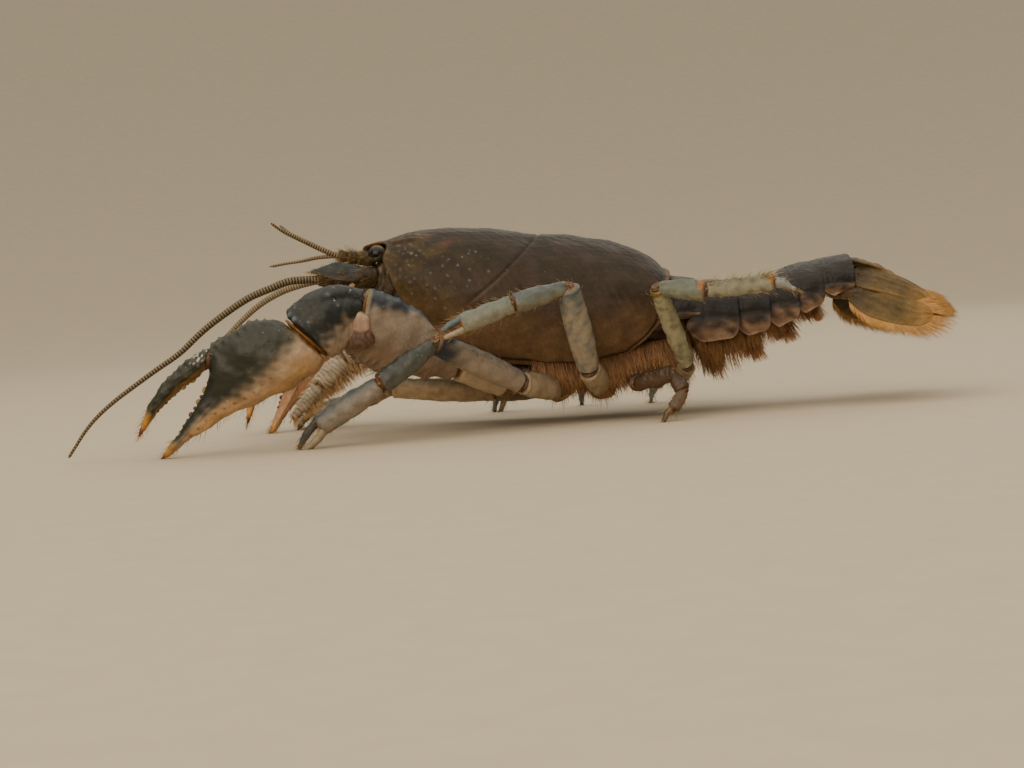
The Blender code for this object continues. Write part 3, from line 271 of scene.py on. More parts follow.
def makePiece(name, sheets, finish, slot, *replaced):
    # joins closed sheets into one mesh object that rides on the body and stands for CAD nodes
    firsts = np.cumsum([0] + [len(sheet["verts"]) for sheet in sheets])
    verts, paint, shine = (np.concatenate([sheet[key] for sheet in sheets])
                           for key in ("verts", "paint", "shine"))
    quads, tris = (np.concatenate([sheet[key] + first for sheet, first in zip(sheets, firsts)])
                   for key in ("quads", "tris"))
    uv = [sheet["uv"] for sheet in sheets if "uv" in sheet]
    loops = np.concatenate((quads.ravel(), tris.ravel()))
    starts = np.concatenate((np.arange(len(quads)) * 4, len(quads) * 4 + np.arange(len(tris)) * 3))
    mesh = bpy.data.meshes.new(name)
    mesh.vertices.add(len(verts))
    mesh.vertices.foreach_set("co", ((verts + animalPlace) * millimetre).ravel())
    mesh.loops.add(len(loops))
    mesh.loops.foreach_set("vertex_index", loops.astype(np.int32))
    mesh.polygons.add(len(starts))
    mesh.polygons.foreach_set("loop_start", starts.astype(np.int32))
    mesh.polygons.foreach_set("use_smooth", np.ones(len(starts), bool))
    mesh.update(calc_edges=True)
    colours = np.concatenate((np.clip(paint, 0, 1), np.ones((len(paint), 1))), axis=1)
    mesh.attributes.new("paint", "FLOAT_COLOR", "POINT").data.foreach_set("color", colours.ravel())
    mesh.attributes.new("shine", "FLOAT", "POINT").data.foreach_set("value", shine.astype(float))
    if uv:
        layerUv = mesh.uv_layers.new(name="OFBake")
        layerUv.data.foreach_set("uv", np.concatenate(uv)[loops].ravel())
    mesh.materials.append(finishes[finish])
    made = addObject(name, mesh)
    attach(made, "root")
    if replaced:
        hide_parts(*replaced)
    print("made", name, len(quads) * 2 + len(tris), "triangles")


def ball(place, radii, code, rows=12, columns=18):
    # a small rounded knob
    turn = np.linspace(0.12, np.pi - 0.12, rows)[:, None]
    angle = around(columns)[None]
    across = np.sin(turn)
    shape = np.stack((across * np.cos(angle), across * np.sin(angle), np.cos(turn) + 0 * angle), -1)
    centre = np.asarray(place, float)
    reach = np.array((0, 0, radii[2]))
    return closedSheet(centre + shape * radii, tint(code), poles=(centre + reach, centre - reach))


# Finishes

def addNode(tree, kind, sockets=None, **settings):
    # a shader node with its sockets filled or linked
    node = tree.nodes.new(kind)
    for key, value in settings.items():
        setattr(node, key, value)
    for key, value in (sockets or {}).items():
        if isinstance(value, bpy.types.NodeSocket):
            tree.links.new(value, node.inputs[key])
        else:
            node.inputs[key].default_value = value
    return node


def mapped(tree, value, fromLow, fromHigh, toLow, toHigh):
    # a value carried over from one range to another
    sockets = {"Value": value, "From Min": fromLow, "From Max": fromHigh, "To Min": toLow, "To Max": toHigh}
    return addNode(tree, "ShaderNodeMapRange", sockets, clamp=True).outputs[0]


def noise(tree, place, size, detail=3.0, roughness=0.55):
    # cloud noise whose lumps are about size mm across
    sockets = {"Vector": place, "Scale": 1 / (size * millimetre), "Detail": detail, "Roughness": roughness}
    return addNode(tree, "ShaderNodeTexNoise", sockets).outputs[0]


def crackedCells(tree, place, size):
    # random cells about size mm across, with the distance from each one's middle
    sockets = {"Vector": place, "Scale": 1 / (size * millimetre)}
    return addNode(tree, "ShaderNodeTexVoronoi", sockets).outputs


def bumped(tree, height, depth, normal):
    # adds a relief, depth mm deep, to the one before it
    sockets = {"Height": height, "Strength": 1.0, "Distance": depth * millimetre}
    if normal:
        sockets["Normal"] = normal
    return addNode(tree, "ShaderNodeBump", sockets).outputs[0]


def crustMaterial(name, look):
    # the painted colour, clouded by one or two noises, with specks, and pits and grain for the bump; sizes in mm
    material = bpy.data.materials.new(name)
    material.use_nodes = True
    tree = material.node_tree
    shader = tree.nodes["Principled BSDF"]
    place = addNode(tree, "ShaderNodeTexCoord").outputs["Object"]
    colour = addNode(tree, "ShaderNodeAttribute", attribute_name="paint").outputs["Color"]
    shine = addNode(tree, "ShaderNodeAttribute", attribute_name="shine").outputs["Fac"]
    light = look.get("light", 1.0)
    for size, amount in look["clouds"]:
        value = mapped(tree, noise(tree, place, size), 0.3, 0.7, light * (1 - amount), light * (1 + amount))
        colour = addNode(tree, "ShaderNodeHueSaturation", {"Color": colour, "Value": value}).outputs[0]
        light = 1.0
    for size, radius, cover, code, amount in look.get("specks", ()):
        cells = crackedCells(tree, place, size)
        dot = mapped(tree, cells["Distance"], radius, radius * 0.5, 0, amount)
        chance = addNode(tree, "ShaderNodeSeparateColor", {"Color": cells["Color"]}).outputs[0]
        chosen = addNode(tree, "ShaderNodeMath", {0: chance, 1: cover}, operation="LESS_THAN").outputs[0]
        mask = addNode(tree, "ShaderNodeMath", {0: dot, 1: chosen}, operation="MULTIPLY").outputs[0]
        mix = addNode(tree, "ShaderNodeMix", data_type="RGBA")
        tree.links.new(mask, mix.inputs[0])
        tree.links.new(colour, mix.inputs[6])
        mix.inputs[7].default_value = (*tint(code), 1)
        colour = mix.outputs[2]
    tree.links.new(colour, shader.inputs["Base Color"])
    low, high = look["roughness"]
    rough = mapped(tree, noise(tree, place, look.get("roughSize", 0.5)), 0.3, 0.7, low, high)
    wet = addNode(tree, "ShaderNodeMix", {0: shine}, data_type="FLOAT")
    tree.links.new(rough, wet.inputs[2])
    wet.inputs[3].default_value = look.get("wetRoughness", 0.08)
    tree.links.new(wet.outputs[0], shader.inputs["Roughness"])
    normal = None
    for size, depth in look.get("grain", ()):
        normal = bumped(tree, noise(tree, place, size, 2.0), depth, normal)
    for size, radius, depth in look.get("pits", ()):
        bowl = mapped(tree, crackedCells(tree, place, size)["Distance"], 0, radius, 0, 1)
        normal = bumped(tree, bowl, depth, normal)
    if normal:
        tree.links.new(normal, shader.inputs["Normal"])
    for socket, value in look.get("sockets", {}).items():
        shader.inputs[socket].default_value = value
    return material


looks = dict(
    shell=dict(
        clouds=((1.6, 0.22), (0.28, 0.16)),
        specks=((0.42, 0.2, 0.35, "4d453b", 0.45), (0.95, 0.08, 0.22, "7c796f", 0.4)),
        grain=((0.22, 0.006), (0.07, 0.003)), pits=((0.42, 0.3, 0.008),),
        roughness=(0.36, 0.46), sockets={"Specular IOR Level": 0.12},
    ),
    tail=dict(
        clouds=((1.3, 0.2), (0.25, 0.15)),
        specks=((0.4, 0.18, 0.3, "4e4a48", 0.4), (1.1, 0.07, 0.2, "8a8884", 0.35)),
        grain=((0.2, 0.007), (0.07, 0.003)), pits=((0.4, 0.3, 0.007),),
        roughness=(0.36, 0.48), sockets={"Specular IOR Level": 0.14},
    ),
    fan=dict(
        light=1.3, clouds=((0.9, 0.2), (0.2, 0.18)),
        specks=((0.35, 0.2, 0.3, "7a6a45", 0.4),),
        grain=((0.16, 0.01),), roughness=(0.42, 0.58), sockets={"Specular IOR Level": 0.15},
    ),
    claw=dict(
        light=0.78, clouds=((1.5, 0.13), (0.3, 0.12)),
        specks=((0.5, 0.16, 0.25, "8f9a8c", 0.35), (1.3, 0.08, 0.3, "b4bcb2", 0.55)),
        grain=((0.25, 0.016), (0.08, 0.007)), pits=((0.5, 0.3, 0.018),),
        roughness=(0.38, 0.56),
        sockets={"Specular IOR Level": 0.35, "Subsurface Weight": 0.06, "Subsurface Scale": 0.0006},
    ),
    limb=dict(
        light=0.72, clouds=((0.9, 0.12), (0.2, 0.12)),
        specks=((0.4, 0.22, 0.3, "8d8f80", 0.3),),
        grain=((0.16, 0.012),), roughness=(0.34, 0.5),
        sockets={"Specular IOR Level": 0.35, "Subsurface Weight": 0.12, "Subsurface Scale": 0.0008},
    ),
    skin=dict(
        clouds=((0.8, 0.25), (0.2, 0.2)), grain=((0.25, 0.03), (0.1, 0.012)),
        roughness=(0.3, 0.5), sockets={"Subsurface Weight": 0.2, "Subsurface Scale": 0.0006},
    ),
    feeler=dict(
        clouds=((0.5, 0.15), (0.15, 0.12)), grain=((0.12, 0.01),), roughness=(0.4, 0.55),
        sockets={"Specular IOR Level": 0.2},
    ),
    mouth=dict(
        clouds=((0.9, 0.14), (0.25, 0.12)),
        specks=((0.6, 0.3, 0.3, "8e8a7e", 0.4),),
        grain=((0.18, 0.015),), roughness=(0.4, 0.6),
        sockets={"Subsurface Weight": 0.2, "Subsurface Scale": 0.0008},
    ),
    eye=dict(
        clouds=((0.3, 0.15),), grain=((0.1, 0.008),), roughness=(0.4, 0.5), wetRoughness=0.22,
        sockets={"Specular IOR Level": 0.3},
    ),
    bristle=dict(light=1.3, clouds=((0.6, 0.15),), roughness=(0.5, 0.65)),
)
finishes = {name: crustMaterial(name, look) for name, look in looks.items()}
print("finishes ready")


# Back shell of head and thorax, one plate with the slanting groove

shell = dict(
    # place along the body, top, lower edge, half width
    stations=(
        (-14.0, 18.62, 15.2, 3.9), (-12.4, 19.08, 14.2, 4.1), (-11.7, 19.28, 13.4, 4.35),
        (-10.7, 19.56, 12.2, 4.85), (-9.0, 19.85, 10.2, 5.6), (-6.0, 19.95, 8.1, 6.6), (-2.1, 19.7, 6.7, 7.3),
        (1.2, 19.2, 6.0, 7.6), (2.9, 18.72, 5.7, 7.65), (4.6, 18.68, 5.45, 7.8), (7.0, 18.35, 5.4, 7.95),
        (9.8, 17.75, 5.9, 7.9), (12.3, 16.95, 6.5, 7.6), (14.4, 15.75, 7.3, 7.0), (16.3, 14.1, 8.2, 6.2),
    ),
    # front margin: height angle round the body and place along it, from the lower corner to the beak's tip
    frontMargin=(
        (-50, -8.9), (-30, -9.9), (-12, -10.8), (8, -11.4), (22, -11.75), (32, -11.7), (42, -11.45),
        (50, -11.4), (58, -11.6), (64, -12.0), (73, -13.0), (80, -13.5), (86, -13.85), (90, -14.0),
    ),
    beakWidths=((-14.0, 0.1), (-13.9, 0.35), (-12.9, 1.15), (-11.2, 1.75), (-9.5, 2.1), (-8.0, 2.3)),
    tuck=50, rearLean=0.29, rearTurn=2.9, lip=0.3,
    rows=250, columns=296, underColumns=14,
    grooveTop=(3.3, 18.45), grooveSlant=1.15, grooveEnd=12.4, grooveDepth=0.1, grooveBow=0.28,
    tubercles=110, seed=4,
)


def foldedAngle(angle):
    # height angle above the widest line, the same on both sides of the body
    return np.where(angle > 90, 180 - angle, angle)


def shellSection(x, angle):
    # a full arch whose sides curl in to the lower edge
    keys, top, low, half = np.array(shell["stations"]).T
    top, low, half = (easedTable(keys, column, x) for column in (top, low, half))
    turn = np.radians(angle)
    middle = low + 0.4 * (top - low)
    drop = (middle - low) / math.sin(math.radians(shell["tuck"]))
    rise = np.where(np.sin(turn) > 0, top - middle, drop)
    return half * np.cos(turn), middle + rise * np.sin(turn)


def buildShell():
    tuck = shell["tuck"]
    angle = np.linspace(-tuck, 180 + tuck, shell["columns"])[None]
    height = foldedAngle(angle)
    keys, places = np.array(shell["frontMargin"]).T
    front = easedTable(keys, places, height)
    _, rearZ = shellSection(np.full_like(angle, shellRearTop), angle)
    rear = shellRearTop + shell["rearLean"] * (rearZ - shell["stations"][-1][1])
    rear = rear - shell["rearTurn"] * ramp(-height, 5, tuck) ** 2.2
    share = np.linspace(0, 1, shell["rows"])[:, None]
    x = front + (rear - front) * share
    y, z = shellSection(x, angle + 0 * x)
    grid = np.stack((x, y, z), -1)
    normals = normalsOf(grid, wrapped=False)
    height = height + 0 * x
    low = ramp(-height, -60, tuck)

    # the groove: distance behind a slanting line that fades out on the cheek
    topX, topZ = shell["grooveTop"]
    along = np.clip((topZ - z) / (topZ - shell["grooveEnd"]), 0, 1.1)
    behind = (x - topX - shell["grooveSlant"] * (z - topZ)) / math.hypot(1, shell["grooveSlant"])
    behind = behind - shell["grooveBow"] * np.sin(np.pi * along)
    grooveFade = ramp(z, shell["grooveEnd"] - 0.6, shell["grooveEnd"] + 1.2)
    groove = hump(behind, 0.13) * grooveFade
    rise = -shell["grooveDepth"] * groove + 0.02 * hump(behind + 0.6, 0.4) * grooveFade
    rise += 0.03 * hump(behind - 0.4, 0.28) * grooveFade

    # margins: a bead along the lower and hind edges with a furrow inside it
    fromLow = (height + tuck) * 0.11
    fromRear = rear - x
    edge = np.minimum(fromLow, fromRear)
    rise += 0.1 * hump(edge - 0.16, 0.2) - 0.12 * hump(edge - 0.55, 0.16)

    # the beak: hollow along its middle, with raised margins that run back behind the eyes
    beakHalf = np.interp(x, *np.array(shell["beakWidths"]).T)
    onBeak = ramp(-x, 7.5, 10.5)
    hollow = np.clip(1 - (np.abs(y) / beakHalf) ** 2, 0, 1)
    rise -= 0.2 * hollow * onBeak
    fromFront = x - front
    margin = hump(fromFront * 0.42 - 0.16, 0.17) * ramp(height, 60, 68)
    orbit = hump(fromFront - 0.22, 0.2) * ramp(height, -46, -30) * (1 - ramp(height, 60, 68))
    rise += 0.12 * margin + 0.06 * orbit
    browLine = np.interp(x, (-11.0, -7.0), (2.7, 3.3))
    brow = hump(np.abs(y) - browLine, 0.24) * ramp(x, -11.0, -10.4) * ramp(-x, 7.0, 8.4) * (height > 30)
    rise += 0.2 * brow

    # two fine lines along the back behind the groove
    backHalf = 0.3 + 0.75 * ((x - 9.2) / 6.5) ** 2
    backLines = hump(np.abs(y) - backHalf, 0.14) * ramp(x, 4.2, 5.2) * ramp(-x, -15.6, -14.8) * (height > 45)
    rise -= 0.06 * backLines
    rise += 0.035 * unevenness(grid, 3.2, 11) + 0.012 * unevenness(grid, 0.9, 12)

    # tubercles on the cheek, thinner on the sides behind the groove
    draw = np.random.default_rng(shell["seed"])
    dots = np.zeros_like(x)
    for number in range(shell["tubercles"]):
        side = 1 if number % 2 else -1
        spotX = -9.6 + 8.6 * draw.random() ** 1.15
        spotHeight = draw.uniform(-22, 44)
        size = draw.uniform(0.07, 0.15)
        spotAngle = spotHeight if side > 0 else 180 - spotHeight
        column = np.argmin(np.abs(angle[0] - spotAngle))
        row = np.argmin(np.abs(x[:, column] - spotX))
        if behind[row, column] > -0.7:
            continue
        window = (slice(max(row - 8, 0), row + 9), slice(max(column - 8, 0), column + 9))
        away = np.linalg.norm(grid[window] - grid[row, column], axis=-1)
        knob = hump(away, size)
        rise[window] += 0.09 * knob
        dots[window] = np.maximum(dots[window], hump(away, size * 0.8) * draw.uniform(0.15, 0.9) ** 1.5)
    grid = grid + normals * rise[..., None]

    # colours: brown-black above, browner below, olive and gold clouds on the head, and painted shade in the
    # groove and in the furrow inside the edge bead
    onHead = ramp(-x, 1.5, 7.0)
    embers = [hump(np.linalg.norm(grid - (-5.4, 4.15 * sign, 18.4), axis=-1), 0.5) for sign in (-1, 1)]
    paint = painted(
        grid, "29231c",
        (low * 0.9, "3b2d1f"),
        (ramp(-height, -14, 32) * 0.85, "6b543c"),
        (ramp(height, 40, 75) * 0.5, "211e1a"),
        (onHead * ramp(unevenness(grid, 2.3, 21), -0.4, 1.3) * 0.5, "43361c"),
        (ramp(unevenness(grid, 0.7, 22), 0.7, 1.9) * ramp(-x, 6.5, 9.0) * 0.45, "5e5337"),
        (ramp(unevenness(grid, 4.0, 23), 0.2, 1.6) * (1 - onHead) * 0.35, "3a2b2a"),
        (hump(behind - 0.2, 0.1) * grooveFade * 0.4 * ramp(-z, -16.4, -13.6), "685648"),
        (hump(behind - 0.5, 0.32) * grooveFade * 0.12 * ramp(-z, -18.6, -15), "4a352a"),
        # painted shade in the groove
        (groove * 0.6, "1a1410"),
        # painted shade in the furrow inside the edge bead
        (hump(edge - 0.55, 0.2) * 0.8, "1c130e"),
        (ramp(-edge, -0.42, -0.2) * 0.85, "5a4129"),
        (np.maximum(margin, 0.15 * brow) * 0.85, "704820"),
        (orbit * 0.3, "4c3d28"),
        *((ember * 0.45, "5c3322") for ember in embers),
        (dots * 0.85, "7d8488"),
    )

    # underneath: the sides turn in over a thin lip, and both ends close inside
    reach = np.linspace(0, 1, shell["underColumns"] + 2)[1:-1][None]
    start, end = grid[:, -1:], grid[:, :1]
    lift = 1.7 * (1 - np.abs(1 - 2 * reach) ** 5) + 0.1
    under = start + (end - start) * reach[..., None]
    under[..., 2] += lift
    ring = np.concatenate((grid, under), axis=1)
    underPaint = np.broadcast_to(tint("3a261a"), under.shape)
    ringPaint = np.concatenate((paint, underPaint), axis=1)
    inner = np.concatenate((normals, np.zeros(under.shape)), axis=1) * shell["lip"]
    back = np.array((1.0, 0, 0))
    nose, stern = np.array((-8.0, 0, 14.6)), np.array((13.6, 0, 11.0))
    frontRows = [ring[:1] - inner[:1] * fold + back * run + (nose - ring[:1]) * pull
                 for fold, run, pull in ((1.3, 2.4, 0.25), (1.2, 1.2, 0.06), (1.0, 0.35, 0), (0.6, 0.02, 0))]
    rearRows = [ring[-1:] - inner[-1:] * fold - back * run + (stern - ring[-1:]) * pull
                for fold, run, pull in ((0.5, 0.0, 0), (1.0, 0.15, 0), (1.2, 0.9, 0.05), (1.4, 1.6, 0.4))]
    ring = np.concatenate((*frontRows, ring, *rearRows))
    darkRow = np.broadcast_to(tint("2a1c13"), (1, ring.shape[1], 3))
    ringPaint = np.concatenate((darkRow, darkRow, darkRow, ringPaint[:1], ringPaint, ringPaint[-1:],
                                darkRow, darkRow, darkRow))
    sheet = closedSheet(ring, ringPaint, poles=(nose, stern))
    makePiece("backShell", [sheet], "shell", "shell", "head_shell", "thorax_shell")


# Eyes on short stalks

eye = dict(place=(-12.3, 2.8, 17.8), root=(-11.3, 1.0, 17.1), radius=0.87, rows=44, columns=48)


def buildEyes():
    for side, sign in sides.items():
        place, root = (np.array(eye[key]) * (1, sign, 1) for key in ("place", "root"))
        way = unit(place - root)
        radius = eye["radius"]
        turn = np.linspace(-0.95, 1.5, eye["rows"] - 10)
        run = np.concatenate((np.linspace(0, 0.78, 10, endpoint=False) * np.linalg.norm(place - root),
                              np.linalg.norm(place - root) + radius * np.sin(turn)))
        wide = np.concatenate((np.linspace(0.66, 0.6, 10), radius * np.cos(turn)))
        cornea = np.concatenate((np.full(10, -1.0), turn))
        # a shallow crease parts the dark window from the stalk's cup
        wide = wide * (1 - 0.06 * hump(cornea - 0.7, 0.06)) * (1 + 0.05 * hump(cornea - 0.48, 0.12))
        points = root + way * run[:, None]
        ways = np.tile(way, (len(run), 1))
        grid = ovalSweep(points, (0, 0, 1), wide, wide * 0.97, eye["columns"], ways=ways)
        tilt = unit(grid - points[:, None])[..., 2]
        limit = 0.42 + 0.5 * tilt ** 2
        dark = ramp(cornea[:, None] - limit, -0.05, 0.05)
        stalk = unevenness(grid, 0.7, 31)
        paint = painted(
            grid, "3f3a2b",
            (ramp(stalk, -0.2, 1.0) * 0.6, "5d5236"),
            (ramp(-cornea, 0.3, 0.9)[:, None] + 0 * stalk, "4b3a28"),
            (dark, "060505"),
        )
        sheet = closedSheet(grid, paint, shine=dark, poles=(root - way * 0.1, place + way * radius))
        makePiece("eye" + side.capitalize(), [sheet], "eye", "eye", "eye_" + side)


# Face between the feelers, and the lips under it

face = dict(
    # place along the body, middle height, half width, half height
    block=((-7.5, 14.6, 4.4, 3.3), (-9.5, 14.9, 4.6, 3.2), (-11.2, 15.1, 4.4, 2.9), (-12.4, 15.3, 3.8, 2.4),
           (-13.0, 15.5, 3.0, 1.9), (-13.35, 15.7, 1.9, 1.2)),
    jaw=((-4.5, 10.2, 4.6, 4.0), (-7.5, 10.8, 4.2, 3.2), (-9.5, 11.4, 3.6, 2.6), (-11.0, 12.0, 2.9, 2.0),
         (-11.9, 12.4, 1.7, 1.2)),
    rows=60, columns=72,
)


def buildFace():
    made = []
    for key, seed, squareness in (("block", 41, 2.5), ("jaw", 43, 2.3)):
        x, z, half, high = np.array(face[key]).T
        share = np.linspace(x[0], x[-1], face["rows"])
        order = np.argsort(x)
        middle, half, high = (easedTable(x[order], column[order], share) for column in (z, half, high))
        points = np.stack((share, 0 * share, middle), -1)
        grid = ovalSweep(points, (0, 0, 1), half, high, face["columns"], squareness)
        rise = 0.12 * unevenness(grid, 1.6, seed) + 0.04 * unevenness(grid, 0.6, seed + 1)
        grid = grid + normalsOf(grid) * rise[..., None]
        paint = painted(
            grid, "2c241a",
            (ramp(unevenness(grid, 1.3, seed + 2), 0.0, 1.4) * 0.6, "4a3c26"),
            (ramp(-grid[..., 2], -12.5, -9.5) * 0.6, "7d6248"),
        )
        made.append(closedSheet(grid, paint))
    makePiece("face", made, "skin", "shell")


# Tail rings, each an arch with a hanging lobe at each side

tailRings = (
    dict(front=16.3, back=18.4, top=(13.85, 13.2), tip=9.2,
         belly=9.6, width=(5.9, 5.9), lobe=0.7, fore=0.0, slope=0.0),
    dict(front=18.7, back=22.0, top=(13.15, 12.85), tip=7.1,
         belly=9.0, width=(6.15, 6.3), lobe=1.0, fore=1.2, slope=0.4),
    dict(front=22.3, back=25.1, top=(12.85, 13.0), tip=7.5,
         belly=9.2, width=(6.05, 6.05), lobe=1.0, fore=0.1, slope=0.5),
    dict(front=25.4, back=28.0, top=(13.05, 13.8), tip=8.3,
         belly=9.9, width=(5.8, 5.75), lobe=1.0, fore=0.1, slope=0.8),
    dict(front=28.3, back=30.5, top=(13.9, 14.2), tip=9.3,
         belly=10.7, width=(5.5, 5.35), lobe=0.9, fore=0.1, slope=0.8),
    dict(front=30.8, back=33.7, top=(14.25, 14.62), tip=10.6,
         belly=11.4, width=(5.1, 4.55), lobe=0.6, fore=0.0, slope=0.5),
)
tailShape = dict(rows=56, archColumns=116, lobeColumns=26, underlap=0.4, overlap=0.42, foreCurve=0.72,
                 hindCurve=0.32, dip=0.16, wall=0.16)


def tailRingGrid(ring):
    # columns run from the left lobe's tip over the arch to the right lobe's tip
    lobe, arch = tailShape["lobeColumns"], tailShape["archColumns"]
    depth = np.concatenate((np.linspace(0.985, 0, lobe), np.zeros(arch), np.linspace(0, 0.985, lobe)))[None]
    turn = np.concatenate((np.full(lobe, np.pi), np.linspace(np.pi, 0, arch + 2)[1:-1], np.zeros(lobe)))[None]
    share = np.linspace(0, 1, tailShape["rows"])[:, None]
    length = ring["back"] - ring["front"]
    inward = 1 - (1 - depth ** 2.1) ** 0.5
    foreEdge = ring["front"] - tailShape["underlap"] - ring["fore"] * ramp(depth, -0.4, 0.4)
    foreEdge = foreEdge + length * tailShape["foreCurve"] * inward
    hindEdge = ring["back"] + tailShape["overlap"] - length * tailShape["hindCurve"] * inward ** 1.3
    x = foreEdge + (hindEdge - foreEdge) * share
    top = ring["top"][0] + share * (ring["top"][1] - ring["top"][0])
    half = ring["width"][0] + share * (ring["width"][1] - ring["width"][0])
    base = ring["belly"] + 0.5
    lowest = base - (base - ring["tip"]) * max(ring["lobe"], 0.75)
    y = half * np.cos(turn) * (1 + 0.03 * np.sin(np.pi * depth) - 0.07 * depth ** 2)
    z = base + (top - base) * np.sin(turn) ** 0.9 - (base - lowest) * depth
    z = z + ring["slope"] * depth * (share - 0.5)
    return np.stack((x, y, z), -1), share + 0 * x, depth + 0 * x, turn + 0 * x


def buildTail():
    for number, ring in enumerate(tailRings):
        grid, share, depth, turn = tailRingGrid(ring)
        if number == 0:
            grid[..., 0] += 0.29 * (grid[..., 2] - ring["top"][0]) * (1 - share) * 0.8
        normals = normalsOf(grid, wrapped=False)
        onArch = 1 - ramp(depth, 0.05, 0.45)
        length = ring["back"] - ring["front"]
        rise = -tailShape["dip"] * (1 - ramp(share, 0.05, 0.26))
        rise += (0.05 * np.sin(np.pi * ramp(share, 0.2, 1.0)) - 0.04 * hump(share - 0.3, 0.035)) * onArch
        rise += 0.04 * hump((1 - share) * length - 0.12, 0.14) * onArch \
            + 0.1 * ramp(share, 0.6, 1.0) * (1 - onArch)
        # lobe: a bead round its margin and a soft bulge in its middle
        rim = np.minimum.reduce((share * length + 4 * onArch, (1 - share) * length, (1 - depth) * 2.0))
        rise += 0.05 * hump(rim - 0.12, 0.1) * (1 - onArch)
        bulge = 0.16 * np.sin(np.pi * share) * np.sin(np.pi * np.clip(depth, 0, 1))
        rise += bulge - 0.04 * hump(depth - 0.12, 0.09)
        rise += 0.025 * unevenness(grid, 2.0, 51 + number) + 0.01 * unevenness(grid, 0.6, 61 + number)
        grid = grid + normals * rise[..., None]
        side = ramp(np.abs(np.cos(turn)), 0.72, 1.0)
        lobePart = depth + 0.12 * ramp(depth, 0.0, 0.3) * unevenness(grid, 1.3, 75 + number)
        hindLine = 0.3 * hump((1 - share) * length - 0.04, 0.1) * ramp(depth, 0.45, 0.9)
        paint = painted(
            grid, "201f1f",
            (ramp(unevenness(grid, 1.8, 71 + number), 0.0, 1.5) * 0.5, "2c2a29"),
            (side * (0.7 if number in (1, 2, 3) else 0.3) * 0.7, "181a1d"),
            (ramp(lobePart, -0.1, 0.75), "4f4036"),
            (ramp(lobePart, 0.25, 1.1) * 0.85, "87705d"),
            (ramp(unevenness(grid, 0.7, 76 + number), 0.4, 1.6) * ramp(depth, 0.2, 0.6) * 0.3, "715c53"),
            # painted shade on the front of each ring, where it lies under the ring before it
            ((1 - ramp(share, 0.0, 0.16)) * onArch * 0.6, "2c2320"),
            ((hump((1 - depth) * 2.0 - 0.04, 0.1) + hindLine) * 0.8, "b8998d"),
        )
        wall = tailShape["wall"] * (0.6 + 0.4 * onArch)[..., None]
        inside = (grid - normals * wall)[:, ::-1]
        paintInside = np.broadcast_to(tint("5a3d2c"), inside.shape)
        bothFaces, bothPaints = np.concatenate((grid, inside), 1), np.concatenate((paint, paintInside), 1)
        makePiece(f"tailRing{number + 1}", [closedSheet(bothFaces, bothPaints, "strip")], "tail", "tail",
                  f"tail_segment_{number + 1}")
    buildTailSkin()


tailSkin = dict(span=(14.0, 34.4), closing=(33.0, 34.6), belowTop=1.0, inFromSide=1.4, rows=150, columns=90,
                squareness=2.2)


def buildTailSkin():
    # the soft body inside the rings, with a pale bar across the belly of each ring
    keys = np.array([(ring["front"] + ring["back"]) / 2 for ring in tailRings])
    top = np.array([sum(ring["top"]) / 2 for ring in tailRings])
    belly = np.array([ring["belly"] for ring in tailRings])
    half = np.array([sum(ring["width"]) / 2 for ring in tailRings])
    x = np.linspace(*tailSkin["span"], tailSkin["rows"])
    top, belly, half = (easedTable(keys, column, x) for column in (top, belly, half))
    close = np.sqrt(np.clip(1 - ramp(x, *tailSkin["closing"]) ** 2, 0.1, 1))
    halfUp = (top - tailSkin["belowTop"] - belly) / 2
    points = np.stack((x, 0 * x, belly + 0.1 + halfUp), -1)
    grid = ovalSweep(points, (0, 0, 1), (half - tailSkin["inFromSide"]) * close, halfUp * close,
                     tailSkin["columns"], tailSkin["squareness"])
    bars = sum(hump(x - ring["front"] - 0.4, 0.3) for ring in tailRings)[:, None]
    below = ramp(-(grid[..., 2] - points[:, None, 2]), 1.0, 1.8)
    rise = 0.22 * bars * below + 0.05 * unevenness(grid, 1.0, 81)
    grid = grid + normalsOf(grid) * rise[..., None]
    paint = painted(grid, "5d4030", (bars * below * 0.8, "a98a72"))
    makePiece("tailSkin", [closedSheet(grid, paint)], "skin", "belly")


# Limb segments, soft joints and bristles

def endsCloser(rows, strength=0.78):
    # shares from 0 to 1 that lie closer together at both ends: t - strength * sin(2 pi t) / (2 pi)
    t = np.linspace(0, 1, rows)
    return t - strength * np.sin(2 * np.pi * t) / (2 * np.pi)


